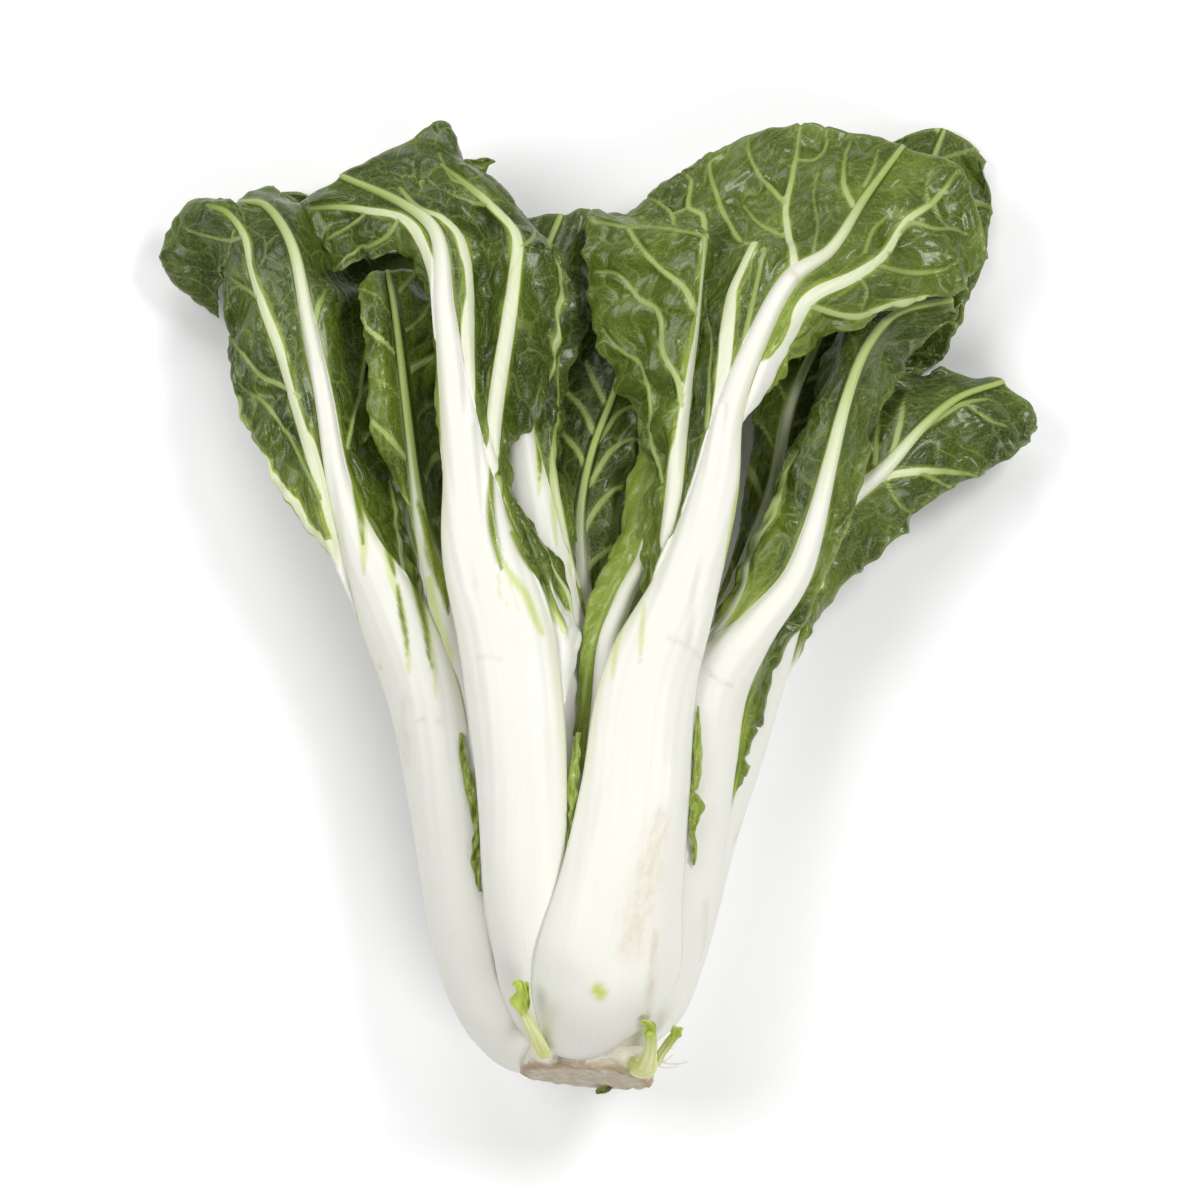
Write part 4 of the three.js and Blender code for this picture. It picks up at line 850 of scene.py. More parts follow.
def side_veins(surface, seed, spacing):
    """Distance to the veins that leave the midrib at a slant, and their half-width there."""
    t = surface.from_edge
    s = surface.stalk_upward
    wobble = 2.5 * waves(s, t, 40, seed)
    side = np.where(surface.c < 0, 0.0, 0.45)[None, :]
    climb = LATERAL_SLANT * t * (1 - 0.15 * t / 60)
    phase = (s - climb - wobble) / spacing + side
    order = np.round(phase)
    strength = 0.75 + 0.25 * np.sin(order * 2.4 + seed)
    return np.abs(phase - order) * spacing / math.hypot(1, LATERAL_SLANT), strength


def plan_distance(at, points):
    """How far, in half-widths, places on a leaf are in plan from a line (x, y, half-width)."""
    away = np.full(at.shape[:2], FAR)
    for x, y, _, width in plan_route(points, 1.0):
        away = np.minimum(away, np.hypot(at[..., 0] - x, at[..., 1] - y) / width)
    return away


def paint(surface, strokes, crispness=2):
    """The strongest of some soft strokes drawn over a leaf, each (strength, points)."""
    painted = np.zeros(surface.points.shape[:2])
    for strength, points in strokes:
        stroke = strength * np.exp(-plan_distance(surface.points, points) ** crispness)
        painted = np.where(np.abs(stroke) > np.abs(painted), stroke, painted)
    return painted


class Detail:
    """What the veins do to a leaf: its heights, and the marks that its material reads."""

    def __init__(self, leaf, surface, seed):
        shape = surface.points.shape[:2]
        self.on_wing = np.broadcast_to(surface.on_wing[None, :], shape)
        self.mark_start(leaf, surface, seed)
        self.draw_veins(leaf, surface, seed)
        self.raise_blade(surface, seed)
        self.raise_stalk(leaf, surface, seed)
        self.flank = np.where(self.on_wing & ~surface.bare(), surface.from_edge, 0.0)
        # Towards the tip the blade's green creeps up the sides of the midrib.
        share, near_tip, from_tip = leaf.get("midrib_hidden", MIDRIB_HIDDEN)
        hidden = share * (1 - smoothstep(near_tip, from_tip, surface.to_tip))
        self.flank += np.where(self.on_wing, 0, hidden * surface.half_width - surface.into_stalk)
        self.flank += np.where(self.on_wing, hidden * surface.half_width, 0)
        self.stalk_reach = surface.half_width * (1 - hidden)
        self.tone = leaf["tone"] + 0.12 * waves(surface.upward, surface.from_middle, 35, seed + 5)
        to_margin = np.minimum(surface.to_margin, surface.to_tip)
        self.margin = np.exp(-(to_margin / 1.1) ** 2) * self.blade
        # Painted shade: the shades strokes darken the blade's tone where shadow falls, and
        # lighten it where their strength is negative.
        self.tone -= paint(surface, leaf.get("painted_shade", []))
        self.stain = paint(surface, leaf.get("stains", []))
        self.streak = paint(surface, leaf.get("streaks", []), 4)
        self.bared = paint(surface, leaf.get("greens", []), 4)

    def draw_veins(self, leaf, surface, seed):
        """Ribs read one by one, side veins on the leaves that have none, and a fine network."""
        t, upward, sideways = surface.from_edge, surface.upward, surface.from_middle
        self.blade = self.on_wing & (t > 0.3)
        self.ribs, self.veins = Lines(t.shape), Lines(t.shape)
        for rib in leaf.get("ribs", []):
            add_rib(self.ribs, surface, *rib)
        if "ribs" not in leaf:
            away, strength = side_veins(surface, seed, LATERAL_SPACING)
            reach = np.maximum(strength * (1 - 0.6 * smoothstep(5, 45, t)), THINNEST_RIB)
            reach = np.maximum(reach * smoothstep(0.7, 1, self.opened), 0.05)
            self.ribs.add(away, away, reach, self.blade)
        x = surface.stalk_upward + 3 * waves(upward, t, 18, seed + 1)
        y = sideways * 1.25 + 3 * waves(upward, t, 18, seed + 2)
        self.coarse, turn = network(x, y, NETWORK_CELL, seed + 3)
        width = np.full(t.shape, NETWORK_VEIN)
        self.veins.add(self.coarse, self.coarse * turn, width, self.blade)
        self.fine, turn = network(x * 1.1, y, FINE_CELL, seed + 4)
        self.veins.add(self.fine, self.fine * turn, np.full(t.shape, FINE_VEIN), self.blade)

    def mark_start(self, leaf, surface, seed):
        """How the stalk's white gives way to green: in streaks on the wings, and slowly along
        the midrib."""
        upward = surface.upward
        starts = np.where(surface.c < 0, surface.starts[-1], surface.starts[1])
        start_row = np.searchsorted(surface.u, starts)
        past_start = upward - upward[start_row, np.arange(len(starts))][None, :]
        from_start = np.maximum(past_start, 0)
        streak = 0.5 + 0.5 * waves(surface.from_edge * 2.2, from_start * 0.12, 7, seed + 10)
        run = np.where(surface.c < 0, *leaf.get("white", WHITE))
        on_wing = 1 - smoothstep(0, 1, (from_start - run * (0.6 + 0.4 * streak)) / 12)
        self.start = np.where(self.on_wing, on_wing, 1 - smoothstep(15, 70, from_start))
        narrow = np.exp(-(surface.wing_width / 11.0) ** 1.5)
        fresh = np.maximum(np.exp(-(from_start / FRESH_LENGTH) ** 2), narrow)
        self.fresh = np.where(self.on_wing, fresh, 0)
        self.opened = smoothstep(3, 14 + 1.2 * run, from_start)
        # Along the stalk's edges near the wings' start: the flesh's own yellow mixed with painted
        # shade where the stalk turns away.
        near_edge = np.exp(-(surface.into_stalk / 2.6) ** 2)
        self.yellow_edge_shade = np.where(self.on_wing, 0, near_edge * np.exp(-(past_start / 50) ** 2))

    def raise_blade(self, surface, seed):
        """Heights over the blade, in millimetres: ribs stand proud, and the rest puckers."""
        t, upward, sideways = surface.from_edge, surface.upward, surface.from_middle
        past = self.ribs.near / self.ribs.reach
        drawn = self.on_wing & (self.ribs.near < FAR)
        dome = np.sqrt(np.clip(1 - (past / DOME_WIDTH) ** 2, 0, 1))
        ridge = RIDGE_HEIGHT * np.minimum(self.ribs.reach, WIDEST_RIDGE) * dome
        self.ridge = np.where(drawn, ridge, 0) * self.opened
        calm = smoothstep(1.0, 2.4, np.where(drawn, past, FAR)) * smoothstep(1.0, 6.0, t)
        pucker = PUCKER_HEIGHT * (1 - np.exp(-(self.coarse / 2.6) ** 2))
        pucker += FINE_PUCKER * (1 - np.exp(-(self.fine / 1.4) ** 2))
        pucker *= 0.9 + 0.9 * waves(upward, t, 25, seed + 6)
        swell = SWELL_HEIGHT * waves(upward, sideways, 26, seed + 7)
        self.pucker = (pucker + swell * smoothstep(3, 14, t)) * calm * self.opened
        wide = smoothstep(6, 20, surface.wing_width) * self.opened
        near_margin = np.exp(-(surface.to_margin / 6.0) ** 2) * wide
        frill = np.sin(upward * 2 * math.pi / FRILL_LENGTH + 2 * waves(upward, t, 50, seed + 8))
        self.pucker += np.where(self.on_wing, FRILL_HEIGHT * near_margin * frill, 0)

        # The margin wanders in and out a little.
        wander = WANDER * waves(upward, sideways * 0.1, 20, seed + 11)
        wander += SHORT_WANDER * waves(upward, t, 6, seed + 12)
        wander *= np.exp(-(surface.to_margin / 9.0) ** 2) * wide
        self.wander = np.where(self.on_wing, wander, 0)

    def raise_stalk(self, leaf, surface, seed):
        """Fine lengthwise grooves and a few soft ridges, in millimetres."""
        upward, sideways = surface.upward, surface.from_middle
        turned = sideways * 2 * math.pi + 2.5 * waves(upward * 0.12, sideways, 12, seed + 9)
        grooves = np.sin(turned / 4.3) + 0.6 * np.sin(turned / 7.1 + 1.3)
        self.grooves = GROOVE_HEIGHT * grooves * smoothstep(40, 130, upward) * ~self.on_wing
        for height, points in leaf.get("ridges", []):
            away = plan_distance(surface.points, points)
            self.grooves += np.where(self.on_wing, 0, height * np.exp(-away ** 2))


# ---- Meshes ----------------------------------------------------------------------------------

UV_UNIT = 100            # millimetres that one unit of the texture coordinates stands for
THIN_MARGIN = 0.35       # a blade's thickness at its margin, as a share of the rest
RIDGE_BELOW = 0.2        # how much of a rib's rise also shows on the underside


def add_mesh(name, points, faces, marks, uv):
    """An object from points in millimetres, drawn in the head's own frame."""
    mesh = bpy.data.meshes.new(name)
    mesh.from_pydata(((points + HEAD_SHIFT) * MM).tolist(), [], faces)
    for mark, values in marks.items():
        layer = mesh.attributes.new(mark, "FLOAT", "POINT")
        layer.data.foreach_set("value", np.ascontiguousarray(values, dtype=np.float32))
    loops = np.empty(len(mesh.loops), dtype=np.int32)
    mesh.loops.foreach_get("vertex_index", loops)
    layer = mesh.uv_layers.new(name="UVMap")
    layer.data.foreach_set("uv", uv[loops].astype(np.float32).ravel())
    mesh.shade_smooth()
    obj = bpy.data.objects.new(name, mesh)
    bpy.context.collection.objects.link(obj)
    return obj


def face_lists(*quads):
    """Quads as lists of corners, with repeated corners left out and closed-up quads dropped."""
    faces = []
    for quad in np.concatenate([q.reshape(-1, 4) for q in quads]).tolist():
        face = [corner for k, corner in enumerate(quad) if corner != quad[k - 1]]
        if len(face) > 2:
            faces.append(face)
    return faces


def shell(name, outer, inner, closed_up, marks, uv):
    """A closed sheet between two grids of points. closed_up says for each grid point which
    column it lies on, so that columns can start from a shared point."""
    rows, columns = outer.shape[:2]
    index = np.arange(rows)[:, None] * columns + closed_up
    used, packed = np.unique(index, return_inverse=True)
    top = packed.reshape(rows, columns)
    under = top + len(used)
    quads = []
    for grid, turned in ((top, False), (under, True)):
        quad = np.stack([grid[:-1, :-1], grid[:-1, 1:], grid[1:, 1:], grid[1:, :-1]], axis=-1)
        quads.append(quad[..., ::-1] if turned else quad)
    border = np.concatenate([top[0, :], top[1:, -1], top[-1, -2::-1], top[-2:0:-1, 0]])
    ahead = np.roll(border, -1)
    rim = np.stack([ahead, border, border + len(used), ahead + len(used)], axis=-1)
    rim = rim[ahead != border]
    points = np.concatenate([outer.reshape(-1, 3)[used], inner.reshape(-1, 3)[used]])
    both = {mark: np.tile(values.reshape(-1)[used], 2) for mark, values in marks.items()}
    uvs = np.tile(uv.reshape(-1, 2)[used], (2, 1))
    return add_mesh(name, points, face_lists(quads[0], quads[1], rim), both, uvs)


def finish_piece(obj, slot, material, *nodes):
    obj.data.materials.append(material)
    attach(obj, "root")
    if nodes:
        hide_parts(*nodes)


def add_leaf(name, leaf, seed):
    surface = Surface(leaf)
    detail = Detail(leaf, surface, seed)
    half = surface.thickness / 2
    thin = np.where(surface.on_wing[None, :], smoothstep(-0.8, 1.5, surface.to_margin), 1.0)
    half = half * (THIN_MARGIN + (1 - THIN_MARGIN) * thin)
    lift = (detail.pucker + detail.grooves)[..., None] * surface.normals
    sideways = unit(np.gradient(surface.points, axis=1))
    lift += sideways * (detail.wander * np.sign(surface.c))[..., None]
    outer = surface.points + lift + surface.normals * (half + detail.ridge)[..., None]
    below = (half + RIDGE_BELOW * detail.ridge)[..., None]
    inner = surface.points + lift - surface.normals * below
    sunk = np.maximum(0, -np.minimum(outer[..., 2], inner[..., 2]))
    outer[..., 2] += sunk
    inner[..., 2] += sunk
    grid = surface.points.shape[:2]
    columns = np.broadcast_to(np.arange(grid[1]), grid)
    edge = np.where(surface.c < 0, surface.left_edge, surface.right_edge)
    closed_up = np.where(surface.bare(), edge[None, :], columns)
    ribs, veins = detail.ribs, detail.veins
    marks = {
        "rib": ribs.reach - ribs.near, "rib_size": ribs.reach, "vein": veins.offset,
        "vein_near": veins.near - veins.reach, "vein_size": veins.reach, "flank": detail.flank,
        "stalk_reach": detail.stalk_reach, "start": detail.start, "fresh": detail.fresh,
        "tone": detail.tone, "margin": detail.margin, "stain": detail.stain, "yellow_edge_shade": detail.yellow_edge_shade,
        "streak": detail.streak, "bared": detail.bared,
    }
    uv = np.stack([surface.from_middle, surface.upward], axis=-1) / UV_UNIT
    finish_piece(shell(name, outer, inner, closed_up, marks, uv), "leaf", LEAF_MATERIAL, name)


# ---- Materials -------------------------------------------------------------------------------


class Nodes:
    """A material's node tree, with short ways to add and join nodes."""

    def __init__(self, name):
        self.material = bpy.data.materials.new(name)
        self.material.use_nodes = True
        self.tree = self.material.node_tree
        self.shader = self.tree.nodes["Principled BSDF"]

    def add(self, kind, inputs=(), **settings):
        node = self.tree.nodes.new(kind)
        for key, value in settings.items():
            setattr(node, key, value)
        for key, value in dict(inputs).items():
            self.put(value, node.inputs[key])
        return node

    def put(self, value, socket):
        if isinstance(value, bpy.types.NodeSocket):
            self.tree.links.new(value, socket)
        else:
            socket.default_value = value

    def mark(self, name):
        return self.add("ShaderNodeAttribute", attribute_name=name).outputs["Fac"]

    def math(self, operation, a, b=0.0):
        node = self.add("ShaderNodeMath", {0: a, 1: b}, operation=operation)
        return node.outputs[0]

    def ramp(self, value, low, high, to_low=0.0, to_high=1.0):
        inputs = {"Value": value, "From Min": low, "From Max": high,
                  "To Min": to_low, "To Max": to_high}
        return self.add("ShaderNodeMapRange", inputs, interpolation_type="SMOOTHSTEP").outputs[0]

    def mix(self, factor, a, b):
        node = self.add("ShaderNodeMix", data_type="RGBA")
        for socket, value in ((node.inputs[0], factor), (node.inputs[6], a), (node.inputs[7], b)):
            self.put(value, socket)
        return node.outputs[2]

    def noise(self, where, scale, detail=3.0, roughness=0.5):
        inputs = {"Vector": where, "Scale": scale, "Detail": detail, "Roughness": roughness}
        return self.add("ShaderNodeTexNoise", inputs).outputs["Fac"]

    def streaks(self, where, x, y, detail=3.0, roughness=0.5):
        """Noise drawn out along the piece: x and y are its scales across and along."""
        scale = {"Vector": where, "Scale": (x, y, 1.0)}
        where = self.add("ShaderNodeMapping", scale).outputs[0]
        return self.noise(where, 1.0, detail, roughness)

    def colour(self, colour):
        self.put(colour, self.shader.inputs["Base Color"])

    def rough(self, roughness):
        self.put(roughness, self.shader.inputs["Roughness"])

    def bump(self, height, distance, strength):
        inputs = {"Height": height, "Distance": distance, "Strength": strength}
        normal = self.add("ShaderNodeBump", inputs).outputs["Normal"]
        self.put(normal, self.shader.inputs["Normal"])


DARK_GREEN = (0.022, 0.038, 0.003, 1)
MID_GREEN = (0.064, 0.100, 0.006, 1)
LIGHT_GREEN = (0.175, 0.235, 0.026, 1)
YELLOW_GREEN = (0.37, 0.47, 0.06, 1)
STREAK_GREEN = (0.50, 0.58, 0.11, 1)
VEIN_GREEN = (0.33, 0.42, 0.13, 1)
RIB_GREEN = (0.60, 0.65, 0.40, 1)
STALK_WHITE = (0.765, 0.76, 0.70, 1)
STALK_SHADE = (0.70, 0.71, 0.60, 1)
EDGE_YELLOW_SHADE = (0.62, 0.65, 0.34, 1)
BROWN = (0.36, 0.22, 0.09, 1)
TAN = (0.50, 0.36, 0.19, 1)
CUT_DARK = (0.50, 0.42, 0.31, 1)
CUT_LIGHT = (0.66, 0.59, 0.48, 1)
CUT_BLOTCH = (0.62, 0.55, 0.43, 1)
CUT_RING = (0.72, 0.66, 0.52, 1)
CUT_RIM = (0.40, 0.29, 0.17, 1)
STEM_WHITE = (0.80, 0.77, 0.68, 1)
STEM_TAN = (0.66, 0.60, 0.44, 1)
SHOOT_DARK = (0.60, 0.65, 0.20, 1)
SHOOT_LIGHT = (0.78, 0.79, 0.48, 1)
LEAFLET = (0.42, 0.55, 0.05, 1)
LEAFLET_EDGE = (0.34, 0.46, 0.03, 1)
LEAFLET_SPECK = (0.10, 0.12, 0.02, 1)
ROOT_DARK = (0.62, 0.55, 0.40, 1)
ROOT_LIGHT = (0.82, 0.79, 0.70, 1)
FLOOR_DARK = (0.93, 0.93, 0.93, 1)
FLOOR_LIGHT = (0.95, 0.95, 0.95, 1)


def leaf_lines(n):
    """Where the ribs and veins of a leaf lie: (all lines, how wide they are, their halo)."""
    rib, rib_size = n.mark("rib"), n.mark("rib_size")
    drawn = n.math("MULTIPLY", n.ramp(rib, -0.4, 0.2), n.ramp(rib_size, 0.3, 1.2, 0.4, 1.0))
    vein_size = n.mark("vein_size")
    off_vein = n.math("SUBTRACT", n.math("ABSOLUTE", n.mark("vein")), vein_size)
    vein = n.math("MULTIPLY", n.ramp(off_vein, -0.15, 0.3, 1.0, 0.0),
                  n.ramp(n.mark("vein_near"), 0.8, 1.5, 1.0, 0.0))
    vein = n.math("MULTIPLY", vein, n.ramp(vein_size, 0.15, 0.9, 0.10, 0.95))
    line = n.math("MAXIMUM", drawn, vein)
    wide = n.math("MULTIPLY", drawn, rib_size)
    halo = n.math("DIVIDE", rib, n.math("ADD", n.math("MULTIPLY", rib_size, -1.1), -0.3))
    halo = n.ramp(halo, 0.0, 1.0, 1.0, 0.0)
    halo = n.math("MULTIPLY", halo, n.ramp(rib_size, 0.4, 1.5, 0.15, 1.0))
    return line, wide, halo


def leaf_green(n, uv, line_halo, fresh):
    """The blade between its ribs: mottled, with a faint mesh of the finest veins."""
    mottle = n.noise(uv, 9.0, detail=5.0, roughness=0.6)
    # The tone mark holds the painted shade of the shades strokes as well as the blade's own
    # lightness.
    tone = n.mark("tone")
    shade = n.math("ADD", tone, n.math("MULTIPLY", n.math("SUBTRACT", mottle, 0.5), 0.7))
    shade = n.math("ADD", shade, n.math("MULTIPLY", fresh, 0.35))
    green = n.mix(n.ramp(shade, 0.0, 0.55), DARK_GREEN, MID_GREEN)
    green = n.mix(n.ramp(shade, 0.45, 1.1), green, LIGHT_GREEN)
    cells = n.add("ShaderNodeTexVoronoi", {"Vector": uv, "Scale": 42.0},
                  feature="DISTANCE_TO_EDGE")
    tiny_vein = n.ramp(cells.outputs["Distance"], 0.0, 0.09, 0.07, 0.0)
    green = n.mix(tiny_vein, green, VEIN_GREEN)
    green = n.mix(n.math("MULTIPLY", n.mark("margin"), 0.35), green, VEIN_GREEN)
    streaks = n.streaks(uv, 60.0, 5.0)
    beside_line = n.math("MULTIPLY", line_halo, n.ramp(streaks, 0.3, 0.7, 0.2, 0.7))
    green = n.mix(beside_line, green, YELLOW_GREEN)
    fresh_streaks = n.math("MULTIPLY", fresh, n.ramp(streaks, 0.35, 0.65, 0.1, 0.55))
    return n.mix(fresh_streaks, green, YELLOW_GREEN), tiny_vein


def leaf_flesh(n, uv, lengthwise):
    """The white of a stalk, with a few specks and stains, and yellow mixed with painted shade
    along its edges.
    """
    cloud = n.noise(uv, 5.0)
    flesh = n.mix(n.ramp(lengthwise, 0.45, 0.75, 0.0, 0.22), STALK_WHITE, STALK_SHADE)
    flesh = n.mix(n.ramp(cloud, 0.5, 0.8, 0.0, 0.3), flesh, STALK_SHADE)
    # Yellow-olive near the stalk's edges: partly the flesh's own yellow, partly painted shade.
    flesh = n.mix(n.math("MULTIPLY", n.mark("yellow_edge_shade"), 0.55), flesh, EDGE_YELLOW_SHADE)
    flecks = n.streaks(uv, 30.0, 14.0, detail=6.0, roughness=0.7)
    flesh = n.mix(n.ramp(flecks, 0.70, 0.80, 0.0, 0.5), flesh, BROWN)
    specks = n.streaks(uv, 34.0, 14.0, detail=5.0, roughness=0.7)
    stain = n.math("MULTIPLY", n.mark("stain"), n.ramp(specks, 0.35, 0.7, 0.25, 0.8))
    flesh = n.mix(stain, flesh, TAN)
    return n.mix(n.mark("streak"), flesh, STREAK_GREEN)


def leaf_material():
    n = Nodes("leaf")
    uv = n.add("ShaderNodeTexCoord").outputs["UV"]
    line, wide, halo = leaf_lines(n)
    flank, start, fresh = n.mark("flank"), n.mark("start"), n.mark("fresh")
    stalk_reach = n.mark("stalk_reach")
    kept = n.math("SUBTRACT", 1.0, n.mark("bared"))
    stalk = n.math("MULTIPLY", n.ramp(flank, 0.15, 0.75, 1.0, 0.0), kept)
    start = n.math("MULTIPLY", start, kept)
    stalk_halo = n.math("ADD", n.math("MULTIPLY", stalk_reach, 0.45), 1.2)
    stalk_halo = n.math("DIVIDE", flank, stalk_halo)
    halo = n.math("MAXIMUM", halo, n.ramp(stalk_halo, 0.0, 1.0, 1.0, 0.0))
    wide = n.math("MAXIMUM", wide, n.math("MULTIPLY", stalk, stalk_reach))
    white = n.math("MAXIMUM", n.ramp(wide, 0.9, 3.3), start)
    rib = n.math("MAXIMUM", n.math("MAXIMUM", stalk, line), start)

    green, tiny_vein = leaf_green(n, uv, halo, fresh)
    lengthwise = n.streaks(uv, 90.0, 3.0, detail=4.0)
    pale = n.mix(n.ramp(wide, 0.5, 1.6), VEIN_GREEN, RIB_GREEN)
    pale = n.mix(n.ramp(lengthwise, 0.45, 0.7, 0.0, 0.35), pale, YELLOW_GREEN)
    flesh = n.mix(white, pale, leaf_flesh(n, uv, lengthwise))
    n.colour(n.mix(rib, green, flesh))

    patchy = n.noise(uv, 14.0)
    blade_rough = n.ramp(patchy, 0.3, 0.75, 0.2, 0.38)
    n.put(n.math("MULTIPLY", n.math("SUBTRACT", 1.0, rib), 0.3), n.shader.inputs["Coat Weight"])
    n.shader.inputs["Coat Roughness"].default_value = 0.16
    n.rough(n.add("ShaderNodeMix", {0: rib, 2: blade_rough, 3: 0.42}).outputs[0])
    n.put(n.math("MULTIPLY", rib, 0.2), n.shader.inputs["Subsurface Weight"])
    n.shader.inputs["Subsurface Radius"].default_value = (1.0, 0.9, 0.5)
    n.shader.inputs["Subsurface Scale"].default_value = 0.004
    n.shader.inputs["IOR"].default_value = 1.36

    grain = n.noise(uv, 160.0)
    crinkle = n.noise(uv, 48.0, detail=4.0, roughness=0.6)
    height = n.math("ADD", n.math("MULTIPLY", grain, 0.25), crinkle)
    height = n.math("SUBTRACT", height, n.math("MULTIPLY", tiny_vein, 4.0))
    on_blade = n.math("MULTIPLY", height, n.math("SUBTRACT", 1.0, rib))
    on_stalk = n.math("MULTIPLY", lengthwise, n.math("MULTIPLY", rib, 0.25))
    n.bump(n.math("ADD", on_blade, on_stalk), 0.0006, 0.5)
    return n.material


LEAF_MATERIAL = leaf_material()

# ---- The cut stem ----------------------------------------------------------------------------

STEM_CENTRE = np.array([-5.0, -171.0, 42.0])
STEM_RADIUS = 23.5
STEM_LENGTH = 30.0
STEM_FLATTEN = 0.86
STEM_TILT = math.radians(11)    # the cut face looks up
STEM_SKEW = math.radians(-5)    # and towards -X
STEM_PROFILE = [(0, 0.975), (0.8, 1.0), (9, 0.97), (16.5, 0.86), (24, 0.72), (30, 0.64)]
STEM_STUBS = [(-0.29, 0.16, 2.6), (0.85, 0.2, 1.8), (-0.75, 0.14, 2.0)]   # angle, width, height
STEM_UNROLLED = 20       # millimetres that one radian of the stem counts for in its waves
STEM_SIDES = 200
FACE_RINGS = 44
SIDE_RINGS = 60
CUT_RAGGED = 2.4         # how far the tan of the cut runs down the side, on average


def closed_rings(name, rings, marks, uv):
    """A closed mesh from rings of points (ring, side, xyz); the first and last rings are caps."""
    count, sides = rings.shape[:2]
    index = np.arange(count * sides).reshape(count, sides)
    ahead = np.roll(index, -1, axis=1)
    walls = np.stack([index[:-1], ahead[:-1], ahead[1:], index[1:]], axis=-1)
    faces = walls.reshape(-1, 4).tolist()
    faces.append(index[0, ::-1].tolist())
    faces.append(index[-1].tolist())
    flat = {mark: values.reshape(-1) for mark, values in marks.items()}
    return add_mesh(name, rings.reshape(-1, 3), faces, flat, uv.reshape(-1, 2))


def add_stem():
    turn = np.linspace(0, 2 * math.pi, STEM_SIDES, endpoint=False)[None, :]
    face_share = np.linspace(0.02, 1, FACE_RINGS)[:, None]
    side_place = np.linspace(0, STEM_LENGTH, SIDE_RINGS + 1)[1:, None]
    angle = turn + 0 * np.concatenate([face_share, side_place])
    share = np.concatenate([face_share, np.ones_like(side_place)]) + 0 * turn
    place = np.concatenate([np.zeros_like(face_share), side_place]) + 0 * turn
    around = angle * STEM_UNROLLED
    profile = np.array(STEM_PROFILE, float)
    width = np.interp(place, profile[:, 0], profile[:, 1])
    lobes = 1 + 0.035 * np.sin(3 * angle + 1) + 0.025 * np.sin(5 * angle)
    rough = 0.010 * waves(around, place, 7, 900) + 0.008 * waves(around, place, 2.5, 901)
    radius = STEM_RADIUS * width * lobes * share * (1 + rough * (share > 0.9))

    # Stubs of flesh that the cut-off leaves left round the upper rim.
    signed = (angle + math.pi) % (2 * math.pi) - math.pi
    for middle, reach, height in STEM_STUBS:
        beside = np.abs(signed - middle) / reach
        radius += height * (1 - smoothstep(0.5, 1.1, beside)) * smoothstep(0.8, 2.5, place)

    x, z = radius * np.sin(angle), radius * STEM_FLATTEN * np.cos(angle)
    on_face = place <= 0
    fibres = 0.35 * waves(x * 0.35, z * 1.6, 2.2, 903) + 0.3 * waves(x, z, 7, 904)
    step = 0.8 * smoothstep(-0.5, 0.5, x * 0.35 + z + 1.5 * waves(x, z, 12, 906))
    chipped = 0.9 * smoothstep(0.88, 1.0, share) * (0.6 + 0.4 * waves(around, place, 6, 905))
    y = place - np.where(on_face, fibres + step - chipped, 0)

    y, z = (y * math.cos(STEM_TILT) + z * math.sin(STEM_TILT),
            z * math.cos(STEM_TILT) - y * math.sin(STEM_TILT))
    x, y = (x * math.cos(STEM_SKEW) - y * math.sin(STEM_SKEW),
            x * math.sin(STEM_SKEW) + y * math.cos(STEM_SKEW))
    points = np.stack([x, y, z], axis=-1) + STEM_CENTRE
    ragged = CUT_RAGGED + 1.2 * waves(around, 0 * place, 8, 902)
    marks = {
        "cut": np.where(on_face, 1.0, 1 - smoothstep(ragged - 0.8, ragged + 0.8, place)),
        "rim": np.where(on_face, smoothstep(0.88, 0.99, share), 1 - smoothstep(0.5, 2.5, place)),
        "share": share,
    }
    uv = np.stack([radius * np.sin(angle), radius * np.cos(angle) + place], axis=-1) / UV_UNIT
    stem = closed_rings("cut_stem", points, marks, uv)
    finish_piece(stem, "stem", stem_material(), "cut_stem")


def stem_material():
    n = Nodes("stem")
    uv = n.add("ShaderNodeTexCoord").outputs["UV"]
    cut, rim, share = n.mark("cut"), n.mark("rim"), n.mark("share")
    fibres = n.streaks(uv, 18.0, 90.0, detail=5.0, roughness=0.6)
    blotch = n.noise(uv, 14.0, detail=4.0)
    face = n.mix(n.ramp(fibres, 0.35, 0.65), CUT_DARK, CUT_LIGHT)
    face = n.mix(n.ramp(blotch, 0.5, 0.7, 0.0, 0.7), face, CUT_BLOTCH)
    ring = n.ramp(n.math("ABSOLUTE", n.math("SUBTRACT", share, 0.72)), 0.0, 0.06, 0.25, 0.0)
    face = n.mix(ring, face, CUT_RING)
    dark_rim = n.math("MULTIPLY", rim, n.ramp(blotch, 0.3, 0.6, 0.35, 0.85))
    face = n.mix(dark_rim, face, CUT_RIM)
    flesh = n.mix(n.ramp(blotch, 0.45, 0.7, 0.0, 0.6), STEM_WHITE, STEM_TAN)
    n.colour(n.mix(cut, flesh, face))
    n.rough(n.ramp(cut, 0.0, 1.0, 0.45, 0.8))
    grain = n.math("ADD", fibres, n.noise(uv, 120.0))
    n.bump(grain, 0.0006, 0.7)
    return n.material


# ---- The side shoots and small pieces --------------------------------------------------------

